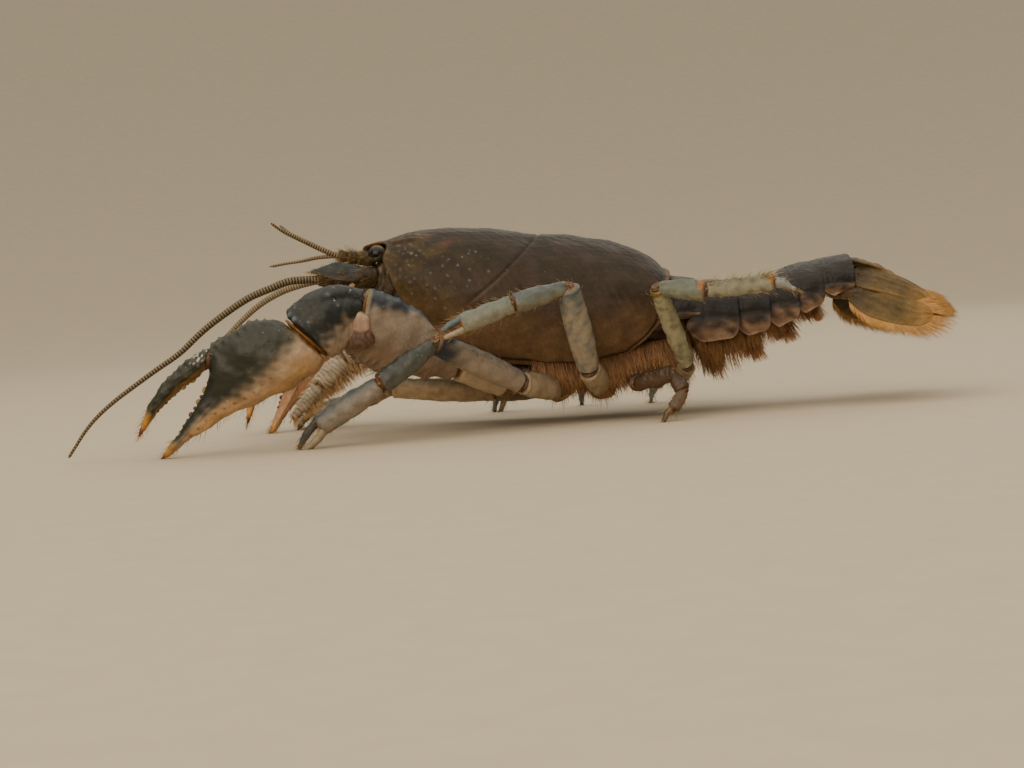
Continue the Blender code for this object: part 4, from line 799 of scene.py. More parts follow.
def limb(knots, sizes, hint, rows=40, columns=32, squareness=2.15, startWay=None, endWay=None,
         rounded=(0.5, 0.5)):
    # one segment: a tube through the knots with half across and half up at each, its ends rounded off
    knots = np.asarray(knots, float)
    share = endsCloser(rows)
    points = pathThrough(knots, rows, share)
    reach = np.concatenate(([0], np.cumsum(np.linalg.norm(np.diff(knots, axis=0), axis=1))))
    halfAcross, halfUp = (easedTable(reach / reach[-1], column, share) for column in np.array(sizes, float).T)
    ways = unit(np.gradient(points, axis=0))
    for way, turned in ((startWay, 1 - ramp(share, 0, 0.3)), (endWay, ramp(share, 0.7, 1))):
        if way is not None:
            ways = unit(ways + (unit(np.asarray(way, float)) - ways) * turned[:, None])
    fromStart, fromEnd = share * reach[-1], (1 - share) * reach[-1]
    close = np.ones(rows)
    for away, radius in ((fromStart, rounded[0]), (fromEnd, rounded[1])):
        close *= roundEnd(away, radius)
    grid = ovalSweep(points, hint, halfAcross * close, halfUp * close, columns, squareness, ways)
    offset = grid - points[:, None]
    spread = {}
    sideways = np.asarray(hint, float) * (1, 1, 0)
    sideways = sideways if sideways.any() else np.array((0.0, 1.0, 0.0))
    for key, way in (("topness", (0, 0, 1.0)), ("outness", sideways)):
        turned = unit(way - ways * (ways @ np.asarray(way, float))[:, None])
        amount = np.sum(offset * turned[:, None], axis=-1)
        spread[key] = amount / np.abs(amount).max(axis=1, keepdims=True)
    full = np.ones(grid.shape[:2])
    return dict(grid=grid, share=share[:, None] * full, fromStart=fromStart[:, None] * full,
                fromEnd=fromEnd[:, None] * full, **spread)


def lift(part, rise):
    # moves a segment's surface out by rise
    part["grid"] = part["grid"] + normalsOf(part["grid"]) * rise[..., None]


def limbPaint(part, style, seed):
    # body colour, then top, low side, a change along the way, clouds, spots, and a band at each joint
    grid, share = part["grid"], part["share"]
    paint = np.ones(grid.shape) * tint(style["body"])
    if "top" in style:
        paint = layer(paint, ramp(part["topness"], -0.1, 0.85) * 0.9, style["top"])
    if "low" in style:
        paint = layer(paint, ramp(-part["topness"], 0.0, 0.9) * 0.9, style["low"])
    if "far" in style:
        code, start, stop = style["far"]
        paint = layer(paint, ramp(share + 0.05 * unevenness(grid, 1.5, seed), start, stop), code)
    if "cloud" in style:
        paint = layer(paint, ramp(unevenness(grid, 1.1, seed + 1), 0.1, 1.3) * 0.55, style["cloud"])
    if "spots" in style:
        code, amount = style["spots"]
        dots = ramp(unevenness(grid, 0.45, seed + 2), 1.1, 1.8) * ramp(part["topness"], -0.5, 0.3)
        paint = layer(paint, dots * amount, code)
    bandStart, bandEnd = style.get("bands", ("8a5a26", "8a5a26"))
    paint = layer(paint, hump(part["fromStart"] - 0.06, 0.17) * 0.75, bandStart)
    paint = layer(paint, hump(part["fromEnd"] - 0.06, 0.17) * 0.75, bandEnd)
    return paint


def segment(knots, sizes, hint, style, seed, **settings):
    # a painted limb segment with soft lumps and a raised collar at its far end
    part = limb(knots, sizes, hint, **settings)
    grid = part["grid"]
    rise = 0.03 * unevenness(grid, 1.4, seed + 5) + 0.012 * unevenness(grid, 0.5, seed + 6)
    lift(part, rise + 0.05 * hump(part["fromEnd"] - 0.35, 0.2))
    part["grid"][..., 2] = np.maximum(part["grid"][..., 2], lowestLevel)
    part["paint"] = limbPaint(part, style, seed)
    part["sheet"] = closedSheet(part["grid"], part["paint"])
    return part


def cuff(place, way, hint, across, up, reach, code, seed):
    # crinkled soft skin that fills a joint, darker in the troughs of its crinkles as painted shade
    place, way = np.asarray(place, float), unit(np.asarray(way, float))
    knots = [place - way * reach, place, place + way * reach]
    part = limb(knots, [(across, up)] * 3, hint, 22, 44, rounded=(0.25, 0.25))
    crinkle = np.sin(part["share"] * 24 + unevenness(part["grid"], 0.9, seed))
    lift(part, 0.05 * crinkle)
    # the crinkle troughs are painted darker: painted shade
    return closedSheet(part["grid"], painted(part["grid"], code, (0.4 - 0.4 * crinkle, "3a2415")))


def growHair(kind, part, weight, count, look, number, seed):
    # bristles rooted where weight is high: way = out * stand + along * lean + stray, bent towards pull
    draw = np.random.default_rng(seed)
    roots, out, on, uv = rootsOn(part["grid"], weight, count, draw)
    stray = draw.normal(0, look["stray"], roots.shape)
    pull = np.asarray(look.get("pull", (0, 0, 0)), float)
    ways = unit(out * look["stand"] + on * look["lean"] + pull + stray)
    lengths = draw.uniform(*look["length"], count)
    bends = on * look.get("bend", 0.3) + pull * 0.5
    hair[kind].append(bristleSheet(roots - out * 0.04, ways, lengths, look["thick"], tint(look["root"]),
                                   tint(look["tip"]), cell(uv, number, hairCells), bends, seed))


hairCells = 12      # hosts in a row of the shared unwrap
hair = dict(claw=[], limb=[], fan=[], belly=[], tail=[], mouth=[], feeler=[])
hairLooks = dict(
    fine=dict(stand=0.8, lean=0.8, stray=0.2, length=(0.35, 0.9), thick=0.022, root="5b4326", tip="a88d62"),
    tuft=dict(stand=0.4, lean=1.1, stray=0.16, length=(0.35, 0.9), thick=0.022, root="45371f", tip="7f6840"),
    comb=dict(stand=0.9, lean=0.5, stray=0.15, length=(0.5, 1.2), thick=0.03, root="6a5c3c", tip="b0a27c"),
    underHand=dict(stand=0.9, lean=0.7, stray=0.25, length=(0.5, 1.4), thick=0.02, root="3a2a1c",
                   tip="6b543a"),
)


# Claws

claws = dict(
    left=dict(
        coxa=(-0.6, -4.5, 4.2), elbow=(-5.2, -7.0, 6.3), armEnd=(-14.1, -12.5, 11.55),
        wristEnd=(-18.7, -14.6, 10.3), fingerTip=(-33.0, -14.2, 0.0), armPlane=(-0.87, -0.3, 0.4),
        wristPlane=(-0.70, -0.12, -0.70), thumbWay=(-0.55, 0.0, 0.83), scale=1.0,
        inner="665a48", innerLow="a48b70", seed=100,
    ),
    right=dict(
        coxa=(-0.6, 4.5, 4.2), elbow=(-5.2, 7.0, 6.3), armEnd=(-12.6, 12.0, 11.1),
        wristEnd=(-17.0, 14.6, 11.4), fingerTip=(-25.7, 10.4, 0.0), armPlane=(-0.87, 0.45, 0.2),
        wristPlane=(-0.86, 0.1, -0.5), thumbWay=(-0.765, -0.16, 0.624), scale=0.87,
        inner="a97f5f", innerLow="c5966f", seed=140,
    ),
)
clawShape = dict(
    # share of the way, half thickness outwards, half height
    arm=((0.0, 1.25, 1.3), (0.15, 1.4, 1.75), (0.38, 1.65, 2.75), (0.62, 1.95, 3.5), (0.84, 2.05, 3.5),
         (1.0, 1.8, 3.1)),
    wrist=((0.0, 1.7, 2.85), (0.3, 2.15, 3.15), (0.65, 2.35, 3.2), (1.0, 1.85, 2.85)),
    wristRise=0.75,
    # distance from the wrist, lower edge, upper edge, half thickness
    hand=((0.0, -2.5, 2.5, 1.6), (1.5, -3.0, 3.65, 2.25), (3.2, -2.75, 4.5, 2.6), (5.2, -2.35, 4.95, 2.6),
          (7.2, -1.8, 5.1, 2.3), (8.1, -1.55, 4.3, 2.0), (9.0, -1.2, 3.2, 1.7), (10.0, -0.98, 2.5, 1.5),
          (11.6, -0.7, 1.9, 1.2), (13.6, -0.45, 1.2, 0.9), (15.8, -0.3, 0.58, 0.58), (17.0, -0.22, 0.3, 0.36),
          (17.7, -0.12, 0.1, 0.12)),
    darkEdge=((-0.3, 0.5), (0.6, 0.4), (2.7, -0.1), (5.2, -0.3), (7.4, -0.2), (10.0, 0.35), (12.1, 0.55),
              (13.6, 0.42), (14.8, 0.2), (17.7, 0.0)),
    thumb=((8.0, 4.25, 1.05, 1.35), (9.0, 4.5, 1.0, 1.25), (10.2, 4.6, 0.88, 1.1), (12.2, 4.6, 0.82, 0.95),
           (13.8, 4.4, 0.66, 0.8), (15.2, 4.05, 0.52, 0.6), (16.5, 3.55, 0.36, 0.4), (17.5, 3.12, 0.2, 0.22),
           (17.9, 2.95, 0.08, 0.08)),
    thumbStart=(0.70, 0.71),
    # place on the finger, size of the tooth
    handTeeth=((9.6, 2.62, 0.3), (10.3, 2.3, 0.44), (11.0, 2.08, 0.24), (11.5, 1.88, 0.36),
               (12.15, 1.66, 0.22), (12.8, 1.43, 0.32), (13.4, 1.22, 0.2), (14.0, 1.0, 0.26),
               (14.6, 0.83, 0.17), (15.2, 0.68, 0.15)),
    thumbTeeth=((9.9, 3.76, 0.3), (10.6, 3.76, 0.46), (11.2, 3.8, 0.24), (11.7, 3.8, 0.4),
                (12.3, 3.84, 0.24), (12.8, 3.84, 0.34), (13.4, 3.8, 0.22), (13.9, 3.76, 0.3),
                (14.5, 3.7, 0.2), (15.0, 3.64, 0.24)),
    rows=190, columns=120, squareness=2.25, knobPitch=0.78, wristKnobs=46,
)


def handFrame(claw):
    # the hand's own axes: along the fixed finger, towards the thumb, through its thickness
    base = np.array(claw["wristEnd"])
    along = unit(np.array(claw["fingerTip"]) - base)
    thumb = np.array(claw["thumbWay"])
    thumb = unit(thumb - along * (thumb @ along))
    axes = np.stack((along, thumb, np.cross(along, thumb))) * claw["scale"]
    return base, axes


def pitRow(u, v):
    # a row of pits 1.05 apart, 0.55 below the edge of the dark colour
    edge = easedTable(*np.array(clawShape["darkEdge"]).T, u)
    return beads(u - 4.6, 1.05, 8) * hump(v - edge + 0.55, 0.13) * ramp(u, 4.0, 4.8)


def teethOn(claw, row, shift, paleOnes, codes):
    # a knob for each tooth of a row, pushed across the finger by shift of its size
    base, axes = handFrame(claw)
    return [ball(base + np.array((u, v + size * shift, 0)) @ axes, np.full(3, size * 0.85 * claw["scale"]),
                 codes[number in paleOnes], 10, 14) for number, (u, v, size) in enumerate(clawShape[row])]


def buildArm(side, claw):
    sign, seed = sides[side], claw["seed"]
    coxa, elbow, armEnd = (np.array(claw[key]) for key in ("coxa", "elbow", "armEnd"))
    outward = np.array((0.0, sign, 0.0))
    pale = dict(body="b09a7c", top="8c7c66", low="c0ab8c")
    root = segment([coxa, coxa + (elbow - coxa) * 0.5, elbow], [(1.3, 1.3), (1.35, 1.35), (1.2, 1.3)],
                   outward, pale, seed, rows=36, columns=48)
    share, wide, high = np.array(clawShape["arm"]).T
    knots = elbow + (armEnd - elbow) * share[:, None]
    part = limb(knots, np.stack((high, wide), 1), outward, 110, 96, 2.3, endWay=claw["armPlane"],
                rounded=(0.6, 0.28))
    grid, top = part["grid"], part["topness"]
    rise = 0.05 * unevenness(grid, 2.4, seed + 2) + 0.015 * unevenness(grid, 0.7, seed + 3)
    rims = hump(top + 0.86, 0.09) + 0.7 * hump(top - 0.97, 0.05)
    rise += 0.16 * beads(part["fromStart"], 0.8) * rims * ramp(part["share"], 0.15, 0.35)
    rise += 0.1 * hump(part["fromEnd"] - 0.3, 0.22)
    lift(part, rise)
    navy = 0.3 + 0.5 * (1 - ramp(part["share"], 0.4, 0.85))
    paint = painted(
        grid, "8d7f70",
        (ramp(top + 0.05 * unevenness(grid, 1.6, seed + 8), navy, navy + 0.4), "232a33"),
        (ramp(top, 0.76, 0.97) * 0.85, "151a20"),
        (hump(top - 0.88, 0.06) * 0.5, "46586a"),
        (ramp(-top, -0.1, 0.7) * 0.8, "8c735b"),
        (ramp(unevenness(grid, 1.6, seed + 4), 0.2, 1.4) * 0.3, "776b61"),
        (ramp(part["share"], 0.9, 1.0) * 0.6 * ramp(top, -0.2, 0.5), "2a3136"),
        (hump(part["fromEnd"] - 0.08, 0.15) * 0.9 * ramp(top, -0.2, 0.4), "a8946a"),
    )
    collar = cuff(armEnd, claw["armPlane"], outward, 2.6, 1.55, 0.42, "6e4d26", seed + 5)
    # the hinge on the outer face: a pale lobe over folded brown skin
    hinge = armEnd + outward * 1.7 + (0.1, 0, -0.45)
    mirror = np.array((1, sign, 1))
    lobeKnots = [hinge + np.array(step) * mirror
                 for step in ((-1.3, -0.1, 0.5), (-0.5, 0.1, 0.45), (0.5, 0.1, 0.25), (1.3, -0.1, 0.15))]
    lobe = limb(lobeKnots, [(0.75, 0.26), (1.05, 0.33), (1.1, 0.33), (0.85, 0.26)], outward, 60, 60,
                rounded=(0.8, 0.9))
    lift(lobe, 0.05 * unevenness(lobe["grid"], 1.1, seed + 6) - 0.12 * hump(lobe["share"] - 0.42, 0.05))
    lobePaint = painted(
        lobe["grid"], "a08573",
        (1 - ramp(lobe["share"], 0.0, 0.35), "93702f"),
        # painted light on the lobe's top, then painted shade on its underside and round its edges away from the
        # outer face
        (ramp(lobe["topness"], 0.2, 0.9) * 0.5, "ae9f88"),
        (ramp(-lobe["topness"], 0.5, 1.0) * 0.6, "6e4a30"),
        (ramp(-lobe["outness"], -0.85, -0.35), "73562c"),
    )
    foldKnots = [hinge + np.array(step) * mirror
                 for step in ((-1.5, -0.1, -1.25), (0.0, 0.1, -1.4), (1.6, -0.1, -1.05))]
    folds = limb(foldKnots, [(0.75, 0.26), (0.95, 0.32), (0.75, 0.26)], outward, 60, 50, rounded=(0.6, 0.6))
    wave = np.sin(folds["fromStart"] * 9 + 1.6 * unevenness(folds["grid"], 1.2, seed + 7))
    lift(folds, 0.03 * wave)
    foldPaint = painted(
        folds["grid"], "463020",
        # painted light on the crests of the folds, painted shade in the troughs between them
        (ramp(wave, -0.5, 1) * 0.4, "644630"),
        (ramp(-folds["outness"], -0.75, -0.2), "6d563f"),
    )
    sheets = [root["sheet"], closedSheet(part["grid"], paint), collar, closedSheet(lobe["grid"], lobePaint),
              closedSheet(folds["grid"], foldPaint)]
    makePiece(f"claw{side.capitalize()}Arm", sheets, "claw", "claw", f"claw_{side}_arm")
    growHair("claw", part, ramp(-top, 0.7, 0.95), 70, hairLooks["underHand"], claw["seed"] // 20, seed)


def buildWrist(side, claw):
    sign, seed = sides[side], claw["seed"] + 10
    armEnd, wristEnd = np.array(claw["armEnd"]), np.array(claw["wristEnd"])
    outward = np.array((0.0, sign, 0.0))
    share, wide, high = np.array(clawShape["wrist"]).T
    at = endsCloser(100)
    knots = armEnd + (wristEnd - armEnd) * at[:, None]
    knots[:, 2] += clawShape["wristRise"] * np.sin(np.pi * at)
    armPlane, wristPlane = unit(np.array(claw["armPlane"])), unit(np.array(claw["wristPlane"]))
    knots = knots + armPlane * (1 - at[:, None]) * 0.1 - wristPlane * at[:, None] * 0.1
    ways = unit(armPlane + (wristPlane - armPlane) * at[:, None])
    high, wide = easedTable(share, high, at), easedTable(share, wide, at)
    reach = np.linalg.norm(wristEnd - armEnd)
    close = roundEnd(np.minimum(at, 1 - at) * reach, 0.4)
    grid = ovalSweep(knots, outward, high * close, wide * close, 104, 2.3, ways)
    offset = grid - knots[:, None]
    top = offset[..., 2] / np.abs(offset[..., 2]).max(axis=1, keepdims=True)
    share = at[:, None] + 0 * top
    draw = np.random.default_rng(seed)
    rise = 0.06 * unevenness(grid, 2.2, seed + 1) + 0.015 * unevenness(grid, 0.6, seed + 2)
    rise -= 0.16 * hump(top - 0.62, 0.11) * np.sin(np.pi * share) ** 0.5
    rise += 0.09 * hump((1 - share) * reach - 0.3, 0.2) + 0.06 * hump(share * reach - 0.3, 0.2)
    dots = np.zeros(share.shape)
    for _ in range(clawShape["wristKnobs"]):
        row, column = draw.integers(12, 88), draw.integers(0, 104)
        if top[row, column] < 0.05:
            continue
        size = draw.uniform(0.1, 0.2)
        knob = hump(np.linalg.norm(grid - grid[row, column], axis=-1), size)
        rise += 0.1 * knob
        dots = np.maximum(dots, knob * draw.uniform(0.3, 0.9))
    grid = grid + normalsOf(grid) * rise[..., None]
    lowShare = -top + 0.6 * (0.45 - share) + 0.1 * unevenness(grid, 1.0, seed + 5)
    ends = hump(share * reach - 0.06, 0.12) + hump((1 - share) * reach - 0.06, 0.12)
    paint = painted(
        grid, "121817",
        (ramp(unevenness(grid, 1.5, seed + 3), 0.0, 1.4) * 0.5, "20271f"),
        (ramp(lowShare, -0.1, 0.55), "8d7c6a"),
        (ramp(-top, 0.4, 1.0) * 0.5, "937659"),
        (dots, "75868c"),
        (ends * 0.6, "5e4526"),
    )
    collar = cuff(wristEnd, wristPlane, outward, 2.55, 1.6, 0.26, "8d6229", seed + 4)
    makePiece(f"claw{side.capitalize()}Wrist", [closedSheet(grid, paint), collar], "claw", "claw",
              f"claw_{side}_wrist")


def handPaint(claw, grid, u, v, thumb):
    edge = easedTable(*np.array(clawShape["darkEdge"]).T, u)
    seed = claw["seed"]
    soft = np.interp(u, (6.0, 9.0, 13.0), (1.0, 0.55, 0.3))
    over = v - edge + 0.18 * soft * unevenness(grid, 1.0, seed + 20)
    paint = painted(
        grid, "a48b70",
        (ramp(-over, 0.6, 2.2), "b08a59"),
        (ramp(over / soft, -0.9, 0.5) * 0.75, "424336"),
        (ramp(over / soft, -0.1, 1.3), "21251b"),
        (ramp(unevenness(grid, 1.8, seed + 21), 0.0, 1.5) * 0.4 * ramp(over, 0.2, 1.0), "2f3225"),
        (ramp(-over, 0.1, 0.9) * ramp(u, 4.0, 12.5) * 0.75, "cf9f63"),
        (ramp(-u, -2.6, 0.2) * ramp(-over, 0.0, 1.0) * 0.55, "968578"),
        (pitRow(u, v) * 0.8, "5e3a1c"),
    )
    # the face towards the body is pinker
    across = grid[..., 1] - grid[..., 1].mean(axis=1, keepdims=True)
    inside = ramp(-np.sign(claw["elbow"][1]) * across / np.abs(across).max(axis=1, keepdims=True), -0.15, 0.5)
    flesh = painted(grid, claw["inner"], (ramp(-over, -0.4, 1.6), claw["innerLow"]))
    paint = paint + (flesh - paint) * inside[..., None]
    if thumb:
        paint = layer(paint, ramp(unevenness(grid, 1.2, seed + 22), -0.2, 1.2) * 0.6, "47493a")
        inner = ramp(-(v - np.interp(u, (8, 12, 15, 18), (4.65, 4.85, 4.45, 3.35))), -0.1, 0.25)
        paint = layer(paint, inner * 0.85, "86612f")
    paint = layer(paint, ramp(u, 15.2, 16.6) * 0.85, "c48e3c")
    paint = layer(paint, ramp(u, 16.8, 17.4), "5c2c16")
    paint = layer(paint, ramp(-u, -0.5, -0.15) * 0.8, "7a5c30")
    return paint


def buildHand(side, claw):
    seed = claw["seed"] + 20
    base, axes = handFrame(claw)
    scale = claw["scale"]
    keys, low, high, thick = np.array(clawShape["hand"]).T
    share = endsCloser(clawShape["rows"], 0.6)
    u = keys[-1] * share
    low, high, thick = (easedTable(keys, column, u) for column in (low, high, thick))
    close = roundEnd(u, 0.5, 0.98)
    angle = around(clawShape["columns"])
    cosine, sine = ovalOutline(clawShape["columns"], clawShape["squareness"])
    v = ((low + high) / 2)[:, None] + ((high - low) / 2 * close)[:, None] * cosine
    w = (thick * close)[:, None] * sine
    u = u[:, None] + 0 * v
    grid = base + u[..., None] * axes[0] + v[..., None] * axes[1] + w[..., None] * axes[2]
    plane, way = unit(np.array(claw["wristPlane"])), unit(axes[0])
    slide = ((base + plane * 0.1 - grid) @ plane + u * scale * (way @ plane)) / (way @ plane)
    grid = grid + way * (slide * (1 - ramp(u, 0.0, 3.2)))[..., None]
    knobs = beads(u, clawShape["knobPitch"])
    offKnobs = beads(u / clawShape["knobPitch"] + 0.5, 1)
    turn = np.minimum(angle, 2 * np.pi - angle) + 0 * u
    onPalm = ramp(u, 0.6, 1.4) * ramp(-u, -8.0, -7.2)
    rise = 0.2 * knobs * hump(turn - 0.1, 0.14) * onPalm
    rise += 0.12 * offKnobs * hump(turn - 0.55, 0.12) * onPalm
    onFinger = ramp(u, 9.0, 11.0) * ramp(-u, -17.2, -15.5)
    rise += 0.09 * hump(v - (low + high)[:, None] / 2, 0.16) * onFinger - 0.04 * onFinger
    rise += 0.06 * unevenness(grid, 2.6, seed) + 0.018 * unevenness(grid, 0.8, seed + 1)
    rise -= 0.07 * pitRow(u, v)
    grid = grid + normalsOf(grid) * rise[..., None] * scale
    grid[..., 2] = np.maximum(grid[..., 2], lowestLevel)
    paint = handPaint(claw, grid, u, v, False)
    white = ramp(unevenness(grid, 0.35, seed + 2), 1.0, 1.6) * hump(u - 8.2, 0.7) * ramp(v, 3.9, 4.9)
    paint = layer(paint, white * 0.8, "d9d8cf")
    paint = layer(paint, knobs * hump(turn - 0.1, 0.13) * onPalm * 0.5, "71776a")
    sheets = [closedSheet(grid, paint), *teethOn(claw, "handTeeth", -0.15, (1, 3), ("573c22", "97824f"))]
    makePiece(f"claw{side.capitalize()}Hand", sheets, "claw", "claw", f"claw_{side}_hand")
    part = dict(grid=grid)
    under = ramp(-(v - low[:, None]), -0.35, 0.0) * ramp(-u, -15.5, -13.0) * ramp(u, 0.8, 2.0)
    growHair("claw", part, under + 1e-5, 50, hairLooks["underHand"], seed // 20 + 12, seed)
    tip = ramp(u, 13.5, 16.0) * ramp(-u, -17.5, -17.2)
    growHair("claw", part, tip + 1e-6, 70, hairLooks["fine"], seed // 20 + 24, seed + 1)
    buildThumb(side, claw, base, axes)


def buildThumb(side, claw, base, axes):
    seed, scale = claw["seed"] + 30, claw["scale"]
    u, v, inPlane, through = np.array(clawShape["thumb"]).T
    knots = base + np.stack((u, v, 0 * u), -1) @ axes
    start = np.array((*clawShape["thumbStart"], 0)) @ axes
    part = limb(knots, np.stack((inPlane, through), 1) * scale, unit(axes[2]), 150, 84, 2.2, startWay=start,
                rounded=(0.45, 0.2))
    grid = part["grid"]
    local = (grid - base) @ np.linalg.inv(axes)
    angle = around(grid.shape[1])
    ridges = hump(np.abs(np.sin(angle)) - 0.97, 0.12)[None] * ramp(part["share"], 0.1, 0.3)
    outer = hump(local[..., 1] - local[..., 1].max(axis=1, keepdims=True), 0.25)
    rise = 0.07 * ridges * ramp(part["fromEnd"], 0.5, 2) \
        + 0.12 * beads(part["fromStart"], 0.7) * outer * ramp(-part["share"], -0.62, -0.3)
    rise += 0.03 * unevenness(grid, 1.6, seed) + 0.012 * unevenness(grid, 0.5, seed + 1)
    lift(part, rise * scale)
    part["grid"][..., 2] = np.maximum(part["grid"][..., 2], lowestLevel)
    paint = handPaint(claw, part["grid"], local[..., 0], local[..., 1] + 0.6, True)
    streaks = ramp(unevenness(grid, 0.4, seed + 2), 0.6, 1.4) * ramp(-local[..., 0], -10.2, -8.8)
    paint = layer(paint, streaks * ramp(local[..., 1], 4.2, 4.9) * 0.75, "d3d2c9")
    sheets = [closedSheet(part["grid"], paint),
              *teethOn(claw, "thumbTeeth", 0.3, (1, 3, 5), ("5c4022", "a38c55"))]
    joint = base + np.array((8.0, 4.1, 0)) @ axes
    sheets.append(cuff(joint, start, unit(axes[2]), 0.95 * scale, 1.25 * scale, 0.45, "5c3d22", seed + 3))
    makePiece(f"claw{side.capitalize()}Thumb", sheets, "claw", "claw", f"claw_{side}_thumb")
    tip = ramp(part["share"], 0.55, 0.85)
    growHair("claw", part, tip + 1e-6, 60, hairLooks["fine"], seed // 20 + 36, seed + 4)


# Walking legs, each one object: one short inner segment, thigh, carpus, palm and fingers

legStyles = dict(
    cream=dict(body="9c8b72", top="857762", low="a39277", bands=("76582f", "76582f")),
    # hidden and hiddenShin: the near fourth leg painted dark brown as painted shade, so it stays inconspicuous
    # in the shade under the body
    hidden=dict(body="4e3a28", top="3d2d20", low="5c4530", bands=("48321f", "48321f")),
    hiddenShin=dict(body="67533c", top="514332", low="725c42", bands=("4c361f", "4c361f")),
    secondThigh=dict(body="8d8071", top="6f6a62", low="998a76", far=("222b34", 0.62, 0.95),
                     spots=("3f3c37", 0.6)),
    secondCarpus=dict(body="40443e", top="2a2f2f", low="67645a", cloud="4b4e46"),
    secondPalm=dict(body="80766a", top="48535a", low="91826f", cloud="6c6860", spots=("4a4339", 0.4)),
    darkFinger=dict(body="454a46", top="363e3f", low="5f5d52", far=("80602f", 0.85, 1.0)),
    creamFinger=dict(body="988b74", low="a0927a", far=("8c6838", 0.8, 1.0)),
    thirdThigh=dict(body="8c8473", top="5b666b", low="9a8f7c", cloud="606b70", spots=("3d484e", 0.6),
                    far=("5a676c", 0.7, 1.0)),
    thirdCarpus=dict(body="636961", top="46545a", low="7c7864", cloud="6d6847", bands=("80602c", "76532b")),
    thirdPalm=dict(body="7b7d6e", top="616b64", low="8e8672", cloud="6c6f61"),
    blueToe=dict(body="66757c", top="51626c", far=("8f6238", 0.75, 1.0)),
    paleToe=dict(body="929b9c", top="84918f", low="a09f98", far=("9a8c66", 0.85, 1.0),
                 bands=("8a6a3c", "94865e")),
    fifthThigh=dict(body="868264", top="65684f", low="9d977a", cloud="5c6149", far=("7c6838", 0.9, 1.0),
                    bands=("8a6a32", "7c6030")),
    fifthCarpus=dict(body="6d7466", top="4f5a50", low="858672", cloud="5c6458", far=("945f2a", 0.82, 0.94),
                     bands=("7c6434", "5c4c50")),
    fifthPalm=dict(body="8a8873", top="6e6c54", low="97937e", cloud="5e5c44", far=("9a652c", 0.86, 0.96)),
    # farThigh is painted lighter than the near thighs: painted light on the far legs in the shade under the body
    farThigh=dict(body="cbaf8b", top="968e76", low="d6b993", cloud="ac9776"),
    farShin=dict(body="a08c72", top="6c6a60", low="ab947a", cloud="777064"),
)
legs = {
    ("left", 2): dict(
        joints=((4.4, -4.5, 3.4), (1.0, -8.2, 4.4), (-6.9, -13.2, 9.0), (-12.2, -14.9, 5.5),
                (-17.9, -14.9, 2.2), (-20.0, -14.6, -0.15)),
        thick=(1.2, 1.05, 1.15), pincer=True,
        styles=("cream", "secondThigh", "secondCarpus", "secondPalm", "creamFinger", "darkFinger"),
    ),
    ("left", 3): dict(
        joints=((8.8, -4.6, 3.3), (7.5, -8.0, 5.2), (5.8, -13.2, 13.4), (0.6, -14.4, 12.1),
                (-4.2, -15.0, 10.6), (-6.3, -15.2, 9.7)),
        thick=(1.2, 0.95, 0.98), pincer=True,
        styles=("cream", "thirdThigh", "thirdCarpus", "thirdPalm", "creamFinger", "blueToe"),
    ),
    ("left", 4): dict(
        joints=((12.8, -4.4, 3.8), (11.9, -6.8, 3.5), (15.4, -9.4, 4.4), (16.2, -10.9, 2.7),
                (15.0, -11.6, 1.2), (14.0, -11.9, -0.15)),
        thick=(0.85, 0.7, 0.6), pincer=False,
        styles=("hidden", "hidden", "hidden", "hiddenShin", "cream", "hiddenShin"),
    ),
    ("left", 5): dict(
        joints=((16.6, -4.2, 4.0), (17.0, -7.2, 4.9), (14.2, -12.2, 12.7), (18.7, -13.0, 12.1),
                (24.9, -13.0, 12.4), (27.2, -12.6, 11.5)),
        thick=(0.85, 0.95, 0.82), pincer=False,
        styles=("cream", "fifthThigh", "fifthCarpus", "fifthPalm", "cream", "paleToe"),
    ),
    ("right", 2): dict(
        joints=((4.4, 4.5, 3.4), (-1.6, 7.0, 2.9), (-12.6, 10.0, 3.9), (-16.9, 11.4, 2.6),
                (-20.9, 12.4, 1.5), (-23.0, 12.6, -0.15)),
        thick=(1.15, 1.0, 1.1), pincer=True,
        styles=("cream", "farThigh", "farShin", "farShin", "creamFinger", "darkFinger"),
    ),
    ("right", 3): dict(
        joints=((8.8, 4.6, 3.3), (8.2, 8.4, 5.4), (5.0, 13.4, 10.6), (1.4, 16.8, 6.8),
                (-1.0, 18.9, 2.4), (-1.9, 19.6, -0.15)),
        thick=(1.15, 0.95, 0.98), pincer=True,
        styles=("cream", "thirdThigh", "thirdCarpus", "thirdPalm", "creamFinger", "blueToe"),
    ),
    ("right", 4): dict(
        joints=((13.0, 4.5, 3.5), (13.2, 8.4, 5.2), (11.6, 13.8, 10.4), (9.4, 17.6, 6.4),
                (8.0, 20.2, 2.2), (7.6, 20.9, -0.15)),
        thick=(1.0, 0.85, 0.75), pincer=False,
        styles=("cream", "thirdThigh", "thirdCarpus", "thirdPalm", "cream", "blueToe"),
    ),
    ("right", 5): dict(
        joints=((16.6, 4.2, 4.0), (17.9, 7.8, 5.6), (20.4, 12.4, 9.2), (18.0, 14.6, 5.2),
                (15.6, 16.2, 1.9), (14.9, 16.6, -0.15)),
        thick=(0.95, 0.85, 0.7), pincer=False,
        styles=("cream", "fifthThigh", "fifthCarpus", "fifthPalm", "cream", "paleToe"),
    ),
}
# shares of the thickness along each segment
legShape = dict(
    inner=(0.9, 1.02, 1.0, 0.86), thigh=(0.82, 0.95, 1.04, 1.03, 0.96, 0.88),
    carpus=(0.66, 0.82, 1.0, 1.04, 0.92), palm=(0.76, 0.9, 1.0, 0.98, 0.84),
    toe=(0.66, 0.6, 0.46, 0.26, 0.07), flatness=0.85, rounding=0.36,
)


def shareKnots(start, end, count, bow=(0, 0, 0)):
    # places from start to end, pushed out by bow in the middle
    t = np.linspace(0, 1, count)[:, None]
    return start + (end - start) * t + np.asarray(bow, float) * np.sin(np.pi * t)


